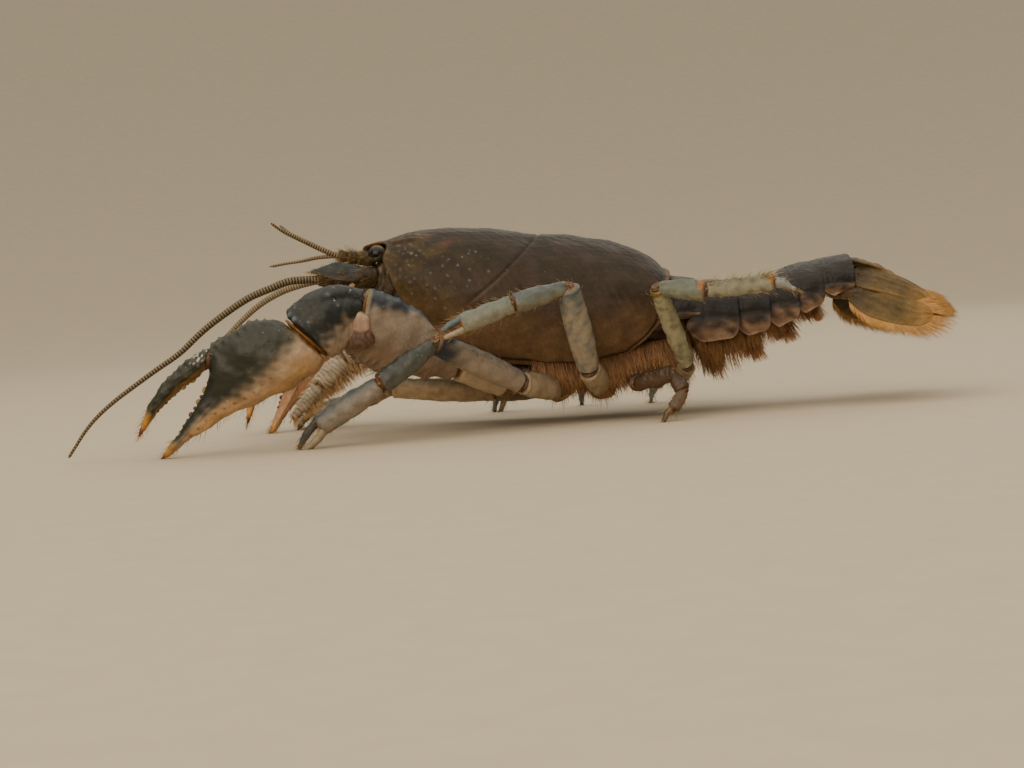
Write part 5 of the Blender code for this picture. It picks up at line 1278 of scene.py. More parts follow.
def legSegment(start, end, shares, thick, hint, style, seed, bow=(0, 0, 0), **settings):
    knots = shareKnots(start, end, len(shares), bow)
    sizes = [(thick * share, thick * share * legShape["flatness"]) for share in shares]
    radius = thick * legShape["rounding"]
    return segment(knots, sizes, hint, legStyles[style], seed, rounded=(radius, radius), **settings)


def buildLeg(side, number, leg):
    sign, seed = sides[side], 200 + 40 * number + (0 if side == "left" else 20)
    coxa, hip, knee, wrist, fingerRoot, tip = (np.array(joint) for joint in leg["joints"])
    thigh, carpus, palm = leg["thick"]
    inner, thighStyle, carpusStyle, palmStyle, lowStyle, toeStyle = leg["styles"]
    outward = np.array((0, sign, 0.2))
    shape = legShape
    on = unit(fingerRoot - wrist)
    parts = [
        legSegment(coxa, hip + unit(hip - coxa) * 0.15, shape["inner"], thigh, outward, inner, seed, rows=40,
                   columns=40),
        legSegment(hip, knee, shape["thigh"], thigh, outward, thighStyle, seed + 3, rows=80, columns=48),
        legSegment(knee - unit(knee - hip) * 0.1, wrist, shape["carpus"], carpus, outward, carpusStyle,
                   seed + 6, rows=56, columns=44),
        legSegment(wrist - on * 0.1, fingerRoot + on * palm * 0.25, shape["palm"], palm, outward,
                   palmStyle, seed + 9, rows=60, columns=44),
    ]
    spread = unit(np.cross(on, outward))
    spread = spread if spread[2] < 0 else -spread
    way, reach = unit(tip - fingerRoot), np.linalg.norm(tip - fingerRoot)
    if leg["pincer"]:
        for turn, style in ((1, lowStyle), (-1, toeStyle)):
            gape = spread * turn
            knots = [fingerRoot - way * 0.5 + gape * palm * 0.4, fingerRoot + way * 0.2 + gape * palm * 0.5,
                     fingerRoot + way * reach * 0.55 + gape * palm * 0.46, tip - way * 0.35 + gape * 0.34,
                     tip + gape * 0.22]
            sizes = [(palm * 0.36, palm * 0.5), (palm * 0.36, palm * 0.52), (palm * 0.3, palm * 0.36),
                     (0.2, 0.22), (0.08, 0.09)]
            parts.append(segment(knots, sizes, outward, legStyles[style], seed + 12 + turn, rows=50,
                                 columns=32, rounded=(0.3, 0.12)))
    else:
        base = fingerRoot + on * 0.05
        knots = shareKnots(base, tip, len(shape["toe"]), -spread * 0.25)
        sizes = [(palm * share, palm * share * 0.9) for share in shape["toe"]]
        parts.append(segment(knots, sizes, outward, legStyles[toeStyle], seed + 12, rows=50, columns=32,
                             rounded=(0.3, 0.06)))
    sheets = [part["sheet"] for part in parts]
    joints = ((hip, unit(hip - coxa) + unit(knee - hip), thigh * 0.82), (knee, knee - hip, carpus * 0.74),
              (wrist, wrist - knee, palm * 0.8), (fingerRoot, on, palm * 0.62))
    for count, (place, way, radius) in enumerate(joints):
        sheets.append(cuff(place, way, outward, radius * 0.9, radius * 0.82, 0.24, "664426",
                           seed + 20 + count))
        for turn in (1, -1):
            knobPlace = place + unit(outward) * turn * radius * 0.8
            sheets.append(ball(knobPlace, np.full(3, radius * 0.2), "6e5a3a", 8, 12))
    title = f"leg{side.capitalize()}{number}"
    nodes = [f"leg_{side}_{number}_{part}" for part in ("thigh", "shin", "toe")]
    makePiece(title, sheets, "limb", "limb", *nodes)
    cellNumber = number * 2 + (0 if side == "left" else 1)
    for order, (part, count) in enumerate(zip(parts, (10, 26, 22, 60, 46, 46))):
        weight = ramp(np.abs(part["topness"]), 0.5, 0.9) + 0.05
        growHair("limb", part, weight, count, hairLooks["fine"], cellNumber + 12 * order, seed + order)
    growHair("limb", parts[-1], ramp(part["share"], 0.5, 0.8) + 1e-5, 30, hairLooks["tuft"],
                               cellNumber + 84, seed + 9)
    if number == 5:
        growHair("limb", parts[3], ramp(parts[3]["topness"], 0.55, 0.9) + 1e-5, 90, hairLooks["comb"],
                                   cellNumber + 96, seed + 10)


# Feelers

feelers = dict(
    antennaSocket=(-13.7, 3.3, 15.55), antennaBase=((0, 0, 0), (-2.2, 0.75, 0.1), (-4.4, 1.6, 0.15)),
    whips=dict(
        left=((-20.8, -5.8, 15.7), (-22.7, -6.5, 15.1), (-24.7, -7.2, 14.35), (-26.9, -8.0, 13.05),
              (-29.1, -8.8, 11.5), (-31.3, -9.6, 9.6), (-33.5, -10.4, 8.2), (-35.4, -11.1, 6.95),
              (-37.3, -11.8, 5.65), (-38.9, -12.4, 4.35), (-40.1, -12.9, 3.05), (-41.1, -13.2, 1.65),
              (-41.8, -13.4, 0.65)),
        right=((-20.9, 5.6, 15.35), (-23.2, 6.5, 14.7), (-25.6, 7.5, 13.5), (-28.0, 8.5, 11.7),
               (-30.2, 9.4, 9.8), (-32.3, 10.3, 8.3), (-34.3, 11.1, 7.3), (-36.3, 11.8, 6.5)),
    ),
    whipRadius=(0.4, 0.14), whipRing=0.3,
    antennuleSocket=(-13.55, 1.15, 17.45), antennuleStem=(-2.75, 0.2, 0.45),
    outer=((-1.7, 0.25, 0.8), (-2.95, 0.65, 1.5), (-4.2, 1.15, 2.2), (-5.1, 1.7, 2.75), (-6.1, 2.4, 3.6)),
    inner=((-2.1, -0.25, 0.0), (-3.9, -0.35, -0.25), (-5.6, -0.2, -0.4), (-6.9, 0.0, -0.6)),
)


def ringedFeeler(knots, radii, ring, codes, columns=14):
    # a thin feeler of many short rings: radius * (1 + 0.07 * cos) and its colour change once each ring
    knots = np.asarray(knots, float)
    length = np.linalg.norm(np.diff(knots, axis=0), axis=1).sum()
    rows = int(length / ring * 6)
    share = np.linspace(0, 1, rows)
    points = pathThrough(knots, rows)
    phase = np.cos(2 * np.pi * share * length / ring)
    radius = (radii[0] + (radii[1] - radii[0]) * share ** 1.2) * (1 + 0.07 * phase)
    radius *= roundEnd((1 - share) * length, 0.3, 0.97)
    grid = ovalSweep(points, (0, 0, 1), radius, radius, columns)
    bands = ramp(phase, -0.4, 0.5)[:, None] * np.ones(columns)
    return closedSheet(grid, painted(grid, codes[0], (bands, codes[1])))


def buildAntenna(side):
    sign = sides[side]
    mirror = np.array((1, sign, 1))
    socket = np.array(feelers["antennaSocket"]) * mirror
    root, middle, end = (socket + np.array(step) * mirror for step in feelers["antennaBase"])
    way = unit(end - root)
    up = (0, 0, 1)
    brown = dict(body="332919", top="231d14", low="463822", cloud="43341f", bands=("54421f", "54421f"))
    steps = (
        (root - way * 1.4, root + way * 1.5, ((0.98, 0.98), (1.08, 1.06), (1.08, 1.04), (0.85, 0.85)), 44, 44),
        (root + way * 1.2, root + way * 3.0, ((0.72, 0.7), (0.9, 0.88), (0.92, 0.9), (0.76, 0.76)), 40, 40),
        (root + way * 2.8, end + way * 0.25, ((0.6, 0.6), (0.78, 0.76), (0.7, 0.7), (0.5, 0.5)), 40, 36),
    )
    parts = [segment(shareKnots(start, stop, 4), sizes, up, brown, 500 + 3 * order, rows=rows,
                     columns=columns)
             for order, (start, stop, sizes, rows, columns) in enumerate(steps)]
    # the scale: a flat blade with a thick outer rim that runs out in a spine
    scaleRoot = root + np.array((-0.2, sign * 0.55, 0.3))
    scaleTip = end + np.array((-0.7, sign * 0.4, 0.75))
    knots = shareKnots(scaleRoot, scaleTip, 6, (0, sign * 0.12, 0.2))
    sizes = [(0.75, 0.26), (1.15, 0.24), (1.25, 0.2), (1.0, 0.17), (0.5, 0.14), (0.07, 0.06)]
    slate = dict(body="1e2324", top="222b2e", low="342b20", cloud="3b3222", bands=("40321f", "4e432f"))
    blade = segment(knots, sizes, (0, sign * 0.75, 0.65), slate, 509, rows=60, columns=44)
    parts.append(blade)
    spots = ball(root + np.array((-1.2, sign * 0.9, -0.55)), (0.38, 0.3, 0.3), "c9b48a")
    sheets = [part["sheet"] for part in parts] + [spots]
    makePiece(f"antennaBase{side.capitalize()}", sheets, "feeler", "feeler", f"antenna_base_{side}")
    number = 90 if side == "left" else 91
    for order, part in enumerate(parts):
        weight = ramp(np.abs(part["outness"]), 0.5, 0.95) * ramp(part["share"], 0.1, 0.4) + 1e-4
        growHair("feeler", part, weight, 90, hairLooks["tuft"], number + order * 2, 520 + order)
    codes = ("2a231b", "72654c") if side == "left" else ("544a3a", "857a60")
    whip = ringedFeeler((end - way * 0.2, end + way * 0.5, *feelers["whips"][side]), feelers["whipRadius"],
                        feelers["whipRing"], codes)
    makePiece(f"antennaWhip{side.capitalize()}", [whip], "feeler", "feeler", f"antenna_whip_{side}")


def buildAntennule(side):
    sign = sides[side]
    mirror = np.array((1, sign, 1))
    root = np.array(feelers["antennuleSocket"]) * mirror
    end = root + np.array(feelers["antennuleStem"]) * mirror
    way = unit(end - root)
    rust = dict(body="3f311d", top="2d2417", low="524026", cloud="524022", bands=("604c28", "604c28"))
    parts, sheets = [], []
    for number, (start, stop, radius) in enumerate(((-0.9, 0.95, 0.7), (0.8, 1.9, 0.62), (1.75, 2.85, 0.54))):
        shares = (0.8, 1.0, 1.0, 0.75)
        knots = shareKnots(root + way * start, root + way * stop, 4)
        part = segment(knots, [(radius * share,) * 2 for share in shares], (0, 0, 1), rust, 540 + number,
                       rows=34, columns=32, rounded=(0.3, 0.3))
        parts.append(part)
        sheets.append(part["sheet"])
    for steps, radii, codes in ((feelers["outer"], (0.27, 0.12), ("2f261b", "7d6c4c")),
                                (feelers["inner"], (0.2, 0.09), ("584a3a", "85755a"))):
        knots = [end - way * 0.4, end + way * 0.1, *(end + np.array(step) * mirror for step in steps)]
        sheets.append(ringedFeeler(knots, radii, 0.26, codes, 12))
    makePiece(f"antennule{side.capitalize()}", sheets, "feeler", "feeler", f"antennule_{side}")
    number = 100 if side == "left" else 101
    for order, part in enumerate(parts):
        growHair("feeler", part, 1.0, 90, hairLooks["tuft"], number + order * 2, 550 + order)


# Mouth legs with their combs

mouth = dict(
    line=((-6.7, 1.5, 7.2), (-9.4, 2.2, 8.5), (-12.2, 3.0, 9.6), (-13.95, 3.5, 9.15), (-16.2, 4.1, 7.8),
          (-18.8, 5.0, 5.3), (-21.5, 5.9, 2.4)),
    sizes=((0.8, 0.6), (1.0, 0.7), (1.1, 0.72), (1.0, 0.66), (1.0, 0.64), (0.85, 0.52), (0.3, 0.26)),
    palpRoot=2.2, combs=1500,
)


def buildMouth(side):
    sign = sides[side]
    mirror = np.array((1, sign, 1))
    knots = np.array(mouth["line"]) * mirror
    sizes = np.array(mouth["sizes"])
    outward = (0, sign, 0)
    cream = dict(body="b9ab93", top="aea291", low="b5a182", cloud="969085", bands=("7c5c38", "7c5c38"))
    sheets, parts = [], []
    inner = knots[0] - unit(knots[1] - knots[0]) * mouth["palpRoot"]
    groups = (((inner, knots[0]), (sizes[0] * 0.9, sizes[0])),
              *((knots[start:stop], sizes[start:stop]) for start, stop in ((0, 4), (3, 5), (4, 6), (5, 7))))
    for number, (line, wide) in enumerate(groups):
        line, wide = np.array(line), np.array(wide)
        if len(line) == 2:
            line = np.array((line[0], line.mean(0), line[1]))
            wide = np.array((wide[0] * 0.92, wide.mean(0) * 1.08, wide[1] * 0.92))
        part = segment(line, wide, outward, cream, 600 + 4 * number, rows=60, columns=44, rounded=(0.4, 0.4))
        stripe = np.cos(part["fromStart"] * 15 + 1.2 * unevenness(part["grid"], 1.5, 630 + number))
        lift(part, 0.05 * stripe)
        # the limb's stripes, darkened in the grooves between its ridges as painted shade
        striped = layer(part["paint"], ramp(-stripe, 0.2, 1.0) * 0.6, "7c6f5c")
        parts.append(part)
        sheets.append(closedSheet(part["grid"], striped))
    makePiece(f"mouthLeg{side.capitalize()}", sheets, "mouth", "mouth", f"maxilliped_{side}")
    number = 110 if side == "left" else 111
    back = dict(stand=0.55, lean=0.5, stray=0.04, length=(0.7, 1.8), thick=0.032, root="8f7048", tip="b89a70",
                pull=(0.6, 0, -0.45), bend=0.25)
    front = dict(stand=0.5, lean=0.8, stray=0.06, length=(0.5, 1.1), thick=0.032, root="a89678", tip="cdbfa5",
                 pull=(-0.3, 0, -0.25), bend=0.3)
    for order, part in enumerate(parts[1:]):
        fade = 1 - 0.18 * order
        top = part["topness"]
        reach = {"length": tuple(value * fade for value in back["length"])}
        growHair("mouth", part, ramp(-top, 0.45, 0.9) + 1e-5, int(mouth["combs"] * 0.24), back | reach,
                                    number + order * 2, 640 + order)
        reach = {"length": tuple(value * fade for value in front["length"])}
        growHair("mouth", part, ramp(top, 0.5, 0.9) + 1e-5, int(mouth["combs"] * 0.12), front | reach,
                                    number + order * 2 + 12, 650 + order)


# Tail fan: ribbed blades with a fringe round their ends

fan = dict(
    telson=dict(
        line=((33.4, 0, 14.15), (36.8, 0, 13.0), (39.7, 0, 11.1), (42.3, 0, 9.6)),
        widths=(2.4, 2.75, 2.7, 2.2),
        droop=0.0, fringeFrom=0.84, thick=0.5, bristles=1100, number=120,
    ),
    inner=dict(
        line=((34.0, 2.9, 12.55), (36.5, 3.9, 11.75), (38.8, 4.45, 10.8), (41.5, 4.8, 9.25)),
        widths=(1.6, 1.75, 1.65, 1.3), droop=0.66, fringeFrom=0.82, thick=0.36, bristles=900, number=122,
    ),
    outer=dict(
        line=((34.0, 4.2, 11.0), (36.5, 6.0, 9.35), (38.8, 6.7, 8.5), (41.0, 6.9, 8.2)),
        widths=(1.3, 1.8, 1.65, 1.2), droop=0.95, fringeFrom=0.03, thick=0.36, bristles=1900, number=124,
    ),
)


def bladeSheet(blade, sign, seed):
    rows, across = 90, 70
    mirror = np.array((1, sign, 1))
    line = np.array(blade["line"], float) * mirror
    share = endsCloser(rows, 0.7)
    points = pathThrough(line, rows, share)
    ways = unit(np.gradient(points, axis=0))
    lean = np.array((0, sign * math.cos(blade["droop"]), -math.sin(blade["droop"])))
    side = unit(lean - ways * (ways @ lean)[:, None])
    up = np.cross(ways, side)
    up = up * np.sign(up[:, 2:])
    half = easedTable(np.linspace(0, 1, 4), blade["widths"], share)
    half = half * np.sqrt(1 - np.clip((share - 0.82) / 0.18, 0, 0.99) ** 2)
    half = half * roundEnd(share, 0.05, 0.9)
    v = np.linspace(-1, 1, across)
    body = (1 - v ** 2) ** 0.6
    ribs = 0.8 * hump(v, 0.12) + 0.3 * hump(np.abs(v) - 0.45, 0.1) + 0.25 * hump(np.abs(v) - 0.93, 0.06)
    fade = (half / half.max())[:, None]
    top = (0.07 + blade["thick"] * 0.55 * body + 0.16 * ribs) * (0.35 + 0.65 * fade)
    low = -(0.05 + 0.2 * body) * (0.35 + 0.65 * fade)
    vTop, vLow = np.broadcast_to(v, (rows, across)), np.broadcast_to(v[::-1], (rows, across))
    grid = np.concatenate([
        points[:, None] + side[:, None] * (half[:, None] * place)[..., None] + up[:, None] * high[..., None]
        for place, high in ((vTop, top), (vLow, low[:, ::-1]))], axis=1)
    both = np.concatenate((vTop, vLow), axis=1)
    onTop = np.concatenate((np.ones(vTop.shape), np.zeros(vLow.shape)), axis=1)
    full = share[:, None] + 0 * both
    grid = grid + up[:, None] * (0.05 * unevenness(grid, 1.2, seed) * (1 - np.abs(both) ** 4))[..., None]
    streak = np.cos(both * 38 + 2 * np.sin(both * 7) + 1.4 * unevenness(grid, 4.0, seed + 1))
    toEdge = np.maximum(ramp(full, 0.6, 1.0), 0.4 * ramp(np.abs(both), 0.75, 1.0))
    paint = painted(
        grid, "44381f",
        (ramp(streak, 0.1, 1.0) * 0.3, "52401f"),
        (ramp(unevenness(grid, 1.3, seed + 2), 0.0, 1.5) * 0.35, "57492a"),
        ((hump(both, 0.13) + 0.5 * hump(np.abs(both) - 0.45, 0.1)) * onTop * 0.4, "2a2317"),
        (toEdge * 0.8, "7a5a2e"),
        ((1 - ramp(full, 0.0, 0.42)) * 0.8, "2b2721"),
    )
    # the fringe: along the outer edge, and round the end of the inner one
    draw = np.random.default_rng(seed + 5)
    outerFrom = blade["fringeFrom"]
    for column, turn, fringeFrom in ((across - 1, 1, outerFrom), (0, -1, max(outerFrom, 0.8))):
        keep = share >= fringeFrom
        edge = grid[keep, column]
        run = np.concatenate(([0], np.cumsum(np.linalg.norm(np.diff(edge, axis=0), axis=1))))
        count = blade["bristles"] // 2
        at = draw.uniform(0, run[-1], count)
        here = np.interp(at, run, share[keep])
        place, on, over = (np.stack([np.interp(at, run, line[:, k]) for k in range(3)], -1)
                           for line in (edge, ways[keep], side[keep] * turn))
        spread = np.interp(here, (0, 0.8, 1.0), (1.3, 0.6, 0.05))[:, None]
        way = unit(on + over * spread + draw.normal(0, 0.08, on.shape))
        length = np.interp(here, (0, 0.15, 0.5, 0.85, 1.0), (0.7, 1.15, 1.3, 1.9, 2.2))
        length = length * draw.uniform(0.35, 1.1, count)
        uv = np.stack((0.5 + 0.5 * turn * np.interp(here, (0.8, 1), (1, 0)), here), -1)
        root = place - way * 0.25
        uv = cell(uv, blade["number"] + (sign < 0), hairCells)
        hair["fan"].append(bristleSheet(root, way, length + 0.25, 0.03, tint("74542a"), tint("bb9052"), uv,
                                        (0.12, 0, -0.2), seed + 6))
    return closedSheet(grid, paint)


def buildFan():
    makePiece("telson", [bladeSheet(fan["telson"], 1, 700)], "fan", "fan", "telson")
    for side, sign in sides.items():
        for key, seed in (("inner", 710), ("outer", 720)):
            sheets = [bladeSheet(fan[key], sign, seed)]
            start = np.array(fan[key]["line"][0]) * (1, sign, 1)
            knots = shareKnots(start + (-1.4, -sign * 0.9, -0.1), start + (0.9, sign * 0.25, -0.25), 4)
            style = dict(body="3c3022", top="2b241b", low="5c4a34", bands=("5c4a34", "8d7a5c"))
            stalk = segment(knots, [(0.7, 0.6), (0.85, 0.7), (0.8, 0.6), (0.6, 0.4)], (0, 0, 1), style,
                            seed + 8, rows=30, columns=32)
            sheets.append(stalk["sheet"])
            title = f"uropod{key.capitalize()}{side.capitalize()}"
            makePiece(title, sheets, "fan", "fan", f"uropod_{key}_{side}")


# Underside with the roots of the limbs, and the swimmerets

belly = dict(
    # place along the body, half width, lowest level, top
    stations=((-6.5, 1.7, 6.6, 9.4), (-6.0, 2.0, 6.0, 9.0), (-2.1, 2.9, 4.6, 7.6), (1.2, 3.5, 3.4, 6.8),
              (4.6, 3.8, 3.1, 6.4), (7.0, 3.8, 2.9, 6.3), (9.8, 3.8, 3.1, 6.6), (12.3, 3.7, 3.8, 7.2),
              (14.4, 3.5, 4.1, 8.0), (16.4, 3.2, 4.4, 9.1), (17.6, 2.6, 5.2, 9.0)),
    inside=((-3.0, 3.6, 7.2, 12.0), (1.2, 4.2, 5.8, 11.0), (4.6, 4.4, 5.2, 11.0), (9.8, 4.4, 5.3, 11.0),
            (12.3, 4.3, 5.8, 11.4), (14.4, 4.3, 6.4, 11.8), (16.3, 4.3, 7.2, 12.2), (18.3, 4.2, 8.2, 12.4)),
    hairLow=((2.0, 3.0), (5.2, 2.3), (6.9, 2.5), (8.2, 1.5), (9.6, 2.1), (11.9, 2.9), (13.6, 3.6),
             (15.7, 2.4), (17.4, 3.3)),
    hairs=11000, hairOut=1.0, hairUp=2.9,
)


def curtain(key, roots, low, reach, count, number, seed, clumping=1.0):
    # clumped bristles hanging on both sides from a line of roots, down to a ragged low line:
    # bristles near a clump's middle lean to it, and those between two clumps are shorter by the clumping
    draw = np.random.default_rng(seed)
    for sign in (-1, 1):
        place = draw.uniform(*reach, count // 2)
        phase = place * 0.95 + 0.5 * np.sin(place * 0.9 + sign) + 0.3 * np.sin(place * 2.3 + 1) + 0.4 * sign
        gather = phase - np.round(phase)
        away = draw.uniform(-1, 1, len(place))
        half, start = np.interp(place, roots[:, 0], roots[:, 1]), np.interp(place, roots[:, 0], roots[:, 2])
        root = np.stack((place, sign * (half + 0.7 * away), start + 0.5 * np.abs(away)), -1)
        depth = start - np.interp(place, *np.array(low).T)
        length = depth * (1.06 - 0.8 * clumping * np.abs(gather))
        length = length * draw.uniform(0.45, 1.0, len(place)) ** 0.7 + 0.3
        lean = -0.42 * clumping * gather + draw.normal(0.06, 0.16 - 0.08 * clumping, len(place))
        way = np.stack((lean, sign * draw.uniform(-0.05, 0.3, len(place)), -np.ones(len(place))), -1)
        uv = np.stack((np.interp(place, reach, (0, 1)), 0.5 + 0.4 * sign * (1 + away) / 2), -1)
        hair[key].append(bristleSheet(root, unit(way), length, 0.046, tint("50341f"), tint("8c6842"),
                                      cell(uv, number + (sign > 0), hairCells), (0.08, 0, 0), seed + sign))


def bodyBlock(stations, rows, columns, squareness, length, radius):
    # a block through the stations, rounded off at both ends, with its middle line and its sizes along it
    x, half, low, top = np.array(stations).T
    at = x[0] + (x[-1] - x[0]) * endsCloser(rows, 0.6)
    half, low, top = (easedTable(x, column, at) for column in (half, low, top))
    share = (at - at[0]) / (at[-1] - at[0])
    close = roundEnd(np.minimum(share, 1 - share) * length, radius)
    points = np.stack((at, 0 * at, (low + top) / 2), -1)
    grid = ovalSweep(points, (0, 0, 1), half * close, (top - low) / 2 * close, columns, squareness)
    return grid, points, half, low


def buildBodySkin():
    # the soft body that shows between the shell's edge and the roots of the legs
    grid = bodyBlock(belly["inside"], rows=120, columns=90, squareness=2.4, length=20, radius=1.5)[0]
    folds = np.sin(grid[..., 2] * 6 + 1.2 * unevenness(grid, 3.0, 851))
    rise = 0.05 * folds + 0.05 * unevenness(grid, 1.2, 852)
    grid = grid + normalsOf(grid) * rise[..., None]
    # lighter on the crests of the folds: painted light on the crests, with painted shade between them
    paint = painted(grid, "45352a", (ramp(folds, 0.0, 1.0) * 0.5, "6a5544"))
    makePiece("bodySkin", [closedSheet(grid, paint)], "skin", "belly")


def buildBelly():
    grid, points, half, low = bodyBlock(belly["stations"], rows=130, columns=84, squareness=2.8, length=24,
                                        radius=0.9)
    below = ramp(points[:, None, 2] - grid[..., 2], 0.6, 1.6)
    rings = np.cos(2 * np.pi * (grid[..., 0] - 4.4) / 4.1)
    rise = 0.22 * rings * below - 0.35 * hump(grid[..., 1], 0.6) * below + 0.06 * unevenness(grid, 1.0, 800)
    grid = grid + normalsOf(grid) * rise[..., None]
    paint = painted(grid, "3e2a1c", (ramp(rings, -0.2, 1.0) * below * 0.6, "7a5c42"))
    sheets = [closedSheet(grid, paint)]
    roots = [(claw["coxa"], claw["elbow"], 1.3) for claw in claws.values()]
    roots += [(*leg["joints"][:2], leg["thick"][0]) for leg in legs.values()]
    for number, (coxa, toward, radius) in enumerate(roots):
        coxa, toward = np.array(coxa), np.array(toward)
        inside = np.array((coxa[0] + (coxa[0] - toward[0]) * 0.12, coxa[1] * 0.42, coxa[2] + 0.55))
        style = dict(body="806548", top="5e4a34", low="8d7150", cloud="5c432c", bands=("6a4526", "7c5630"))
        knots = shareKnots(inside, coxa + unit(coxa - inside) * 0.1, 4)
        part = segment(knots, [(radius * share,) * 2 for share in (0.9, 1.12, 1.16, 0.98)], (0, 0, 1), style,
                       810 + number * 3, rows=36, columns=40)
        sheets.append(part["sheet"])
        look = hairLooks["tuft"] | dict(length=(0.6, 1.4), root="5d3a1e", tip="9a6a3a", pull=(0, 0, -0.5))
        weight = ramp(-part["topness"], 0.0, 0.8) + 1e-4
        growHair("belly", part, weight, 60, look, 48 + number, 830 + number)
    makePiece("underside", sheets, "skin", "belly", "underbelly")
    roots = np.stack((points[:, 0], half + belly["hairOut"], low + belly["hairUp"]), -1)
    curtain("belly", roots, belly["hairLow"], (2.0, 17.3), belly["hairs"], 60, 860, clumping=0.5)


# place of the ring that carries each pair, how far they hang and how far back they lean
swimmerets = {1: (6.1, 0.0), 2: (4.7, 0.7), 3: (3.8, 1.1), 4: (2.8, 1.3)}
swimmeretHair = dict(
    low=((16.8, 4.6), (18.0, 4.7), (19.7, 3.2), (20.9, 2.9), (21.8, 4.0), (23.5, 5.0), (25.2, 6.0),
         (27.4, 7.6), (29.5, 9.0), (31.5, 10.3)),
    span=(17.0, 31.3), hanging=6500, onEachLeaf=190,
)


def buildSwimmerets():
    sheets = []
    draw = np.random.default_rng(900)
    style = dict(body="573520", top="4a2d1b", low="6c4526", cloud="43281a", bands=("3a2317", "7c5430"))
    for number, (hang, back) in swimmerets.items():
        ring = tailRings[number]
        length = ring["back"] - ring["front"]
        for sign in (-1, 1):
            for order, (inner, part) in enumerate(((3.1, 1.0), (1.7, 0.8))):
                root = np.array((ring["front"] + length / 2 - 0.2, sign * inner, ring["belly"] + 0.5))
                reach = (hang + 0.5) * part
                way = unit(np.array((back / hang, sign * 0.1, -1)))
                knots = shareKnots(root, root + way * reach * 0.72, 5, (-0.25, 0, 0))
                half = length * 0.4
                sizes = [(share * half, thick) for share, thick in
                         ((0.5, 0.3), (0.85, 0.22), (1.0, 0.16), (0.8, 0.12), (0.3, 0.07))]
                leaf = segment(knots, sizes, (0, sign, 0), style, 910 + number * 8 + order, rows=44,
                               columns=40, rounded=(0.3, 0.3))
                sheets.append(leaf["sheet"])
                weight = ramp(leaf["share"], 0.25, 0.9) + 0.02
                roots, out, _, uv = rootsOn(leaf["grid"], weight, swimmeretHair["onEachLeaf"], draw)
                clump = np.sin(roots[:, :1] * 7.5 + number) * (0.16, 0, 0)
                ways = unit(way + clump + out * (0.35, 0.1, 0.2) + draw.normal(0, 0.07, roots.shape))
                left = np.maximum(reach - (roots - root) @ way, 0.4)
                size = np.minimum(left, draw.uniform(0.8, 2.4, len(roots)))
                uv = cell(uv, 72 + number * 2 + order, hairCells)
                hair["tail"].append(bristleSheet(roots, ways, size, 0.036, tint("4e311e"), tint("94683f"),
                                                 uv, (0.15, 0, 0), number))
    makePiece("swimmerets", sheets, "skin", "belly")
    roots = np.array([(ring["front"], 3.6, ring["belly"] + 0.2) for ring in tailRings])
    curtain("tail", roots, swimmeretHair["low"], swimmeretHair["span"], swimmeretHair["hanging"], 84, 950)


def buildHair():
    for key, sheets in hair.items():
        makePiece(key + "Hair", sheets, "bristle", key)


# Camera, floor and lights

cameraLook = dict(distance=200.0, pitch=3.0, roll=4.0, aim=(0.0, 0.0, 3.97), lens=70.3125, sensor=36.0)


def placeCamera():
    pitch, roll = math.radians(cameraLook["pitch"]), math.radians(cameraLook["roll"])
    look = Vector((0, math.cos(pitch), -math.sin(pitch)))
    up = Vector((0, math.sin(pitch), math.cos(pitch)))
    right = Vector((1, 0, 0))
    tiltedRight = right * math.cos(roll) - up * math.sin(roll)
    tiltedUp = right * math.sin(roll) + up * math.cos(roll)
    data = bpy.data.cameras.new("camera")
    data.lens, data.sensor_width = cameraLook["lens"], cameraLook["sensor"]
    data.clip_start, data.clip_end = 0.005, 20.0
    camera = addObject("camera", data)
    place = Vector(np.array(cameraLook["aim"]) + animalPlace) - look * cameraLook["distance"]
    turned = Matrix((tiltedRight, tiltedUp, -look)).transposed().to_4x4()
    camera.matrix_world = Matrix.Translation(place * millimetre) @ turned
    bpy.context.scene.camera = camera


floorLook = dict(flat=0.3, curve=1.2, steepest=62, columns=96, colour="a99e8a", grainSize=3.0, roughness=0.8)


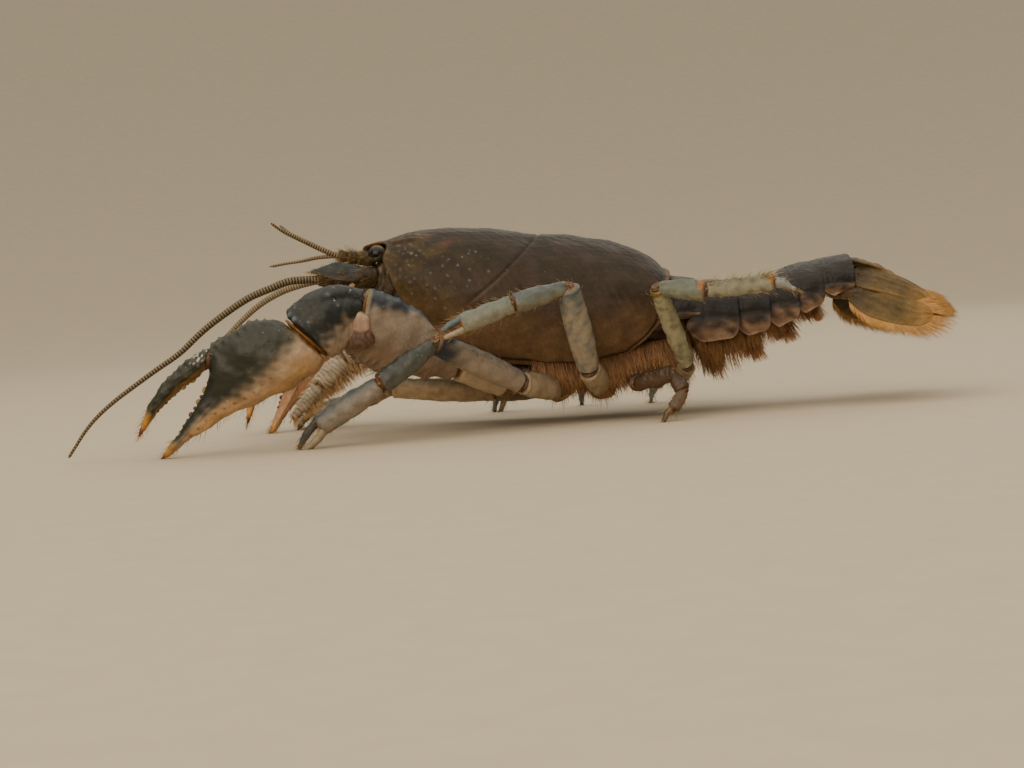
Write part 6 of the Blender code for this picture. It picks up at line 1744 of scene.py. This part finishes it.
def buildFloor():
    # a flat round floor that curves up on all sides like a wide bowl, turned about the upright axis
    bend = np.linspace(0, math.radians(floorLook["steepest"]), 32)
    out = np.concatenate(((0.001, 0.1, 0.2), floorLook["flat"] + floorLook["curve"] * np.sin(bend)))
    up = np.concatenate(((0, 0, 0), floorLook["curve"] * (1 - np.cos(bend))))
    angle = around(floorLook["columns"])
    out, up = out[:, None], up[:, None]
    verts = np.stack((out * np.cos(angle), out * np.sin(angle), up + 0 * angle), -1)
    index = np.arange(verts[..., 0].size).reshape(verts.shape[:2])
    beside = np.roll(index, -1, 1)
    quads = np.stack((index[:-1], index[1:], beside[1:], beside[:-1]), -1).reshape(-1, 4)
    mesh = bpy.data.meshes.new("floor")
    mesh.from_pydata(verts.reshape(-1, 3).tolist(), [], quads.tolist() + [index[0].tolist()])
    mesh.shade_smooth()
    material = bpy.data.materials.new("floor")
    material.use_nodes = True
    tree = material.node_tree
    shader = tree.nodes["Principled BSDF"]
    place = addNode(tree, "ShaderNodeTexCoord").outputs["Object"]
    value = mapped(tree, noise(tree, place, floorLook["grainSize"]), 0.3, 0.7, 0.97, 1.03)
    sockets = {"Color": (*tint(floorLook["colour"]), 1), "Value": value}
    colour = addNode(tree, "ShaderNodeHueSaturation", sockets).outputs[0]
    tree.links.new(colour, shader.inputs["Base Color"])
    shader.inputs["Roughness"].default_value = floorLook["roughness"]
    mesh.materials.append(material)
    floor = addObject("floor", mesh)


# place in mm, width and depth in mm, watts, colour
lamps = dict(
    overhead=((-20, -60, 395), 700, 520, 1.58, "ffeed6"),
    front=((-240, -560, 270), 760, 400, 3.55, "ffeacf"),
    back=((120, 220, 160), 360, 240, 0.12, "f4efe2"),
)
lampAim = (0, 0, 8)
worldLook = dict(colour="e9e2d3", strength=1.1)


def placeLamps():
    for name, (place, wide, deep, watts, code) in lamps.items():
        data = bpy.data.lights.new(name, "AREA")
        data.shape, data.size, data.size_y = "RECTANGLE", wide * millimetre, deep * millimetre
        data.energy, data.color = watts, tint(code)
        lamp = addObject(name, data)
        lamp.location = Vector(place) * millimetre
        lamp.rotation_mode = "QUATERNION"
        lamp.rotation_quaternion = (Vector(lampAim) - Vector(place)).to_track_quat("-Z", "Y")
    world = bpy.data.worlds.new("studio")
    world.use_nodes = True
    background = world.node_tree.nodes["Background"].inputs
    background["Color"].default_value = (*tint(worldLook["colour"]), 1)
    background["Strength"].default_value = worldLook["strength"]
    bpy.context.scene.world = world


placeCamera()
buildFloor()
placeLamps()
print("studio ready")
buildShell()
buildEyes()
buildFace()
buildTail()
buildFan()
for side, claw in claws.items():
    buildArm(side, claw)
    buildWrist(side, claw)
    buildHand(side, claw)
for (side, number), leg in legs.items():
    buildLeg(side, number, leg)
for side in sides:
    buildAntenna(side)
    buildAntennule(side)
    buildMouth(side)
buildBodySkin()
buildBelly()
buildSwimmerets()
buildHair()
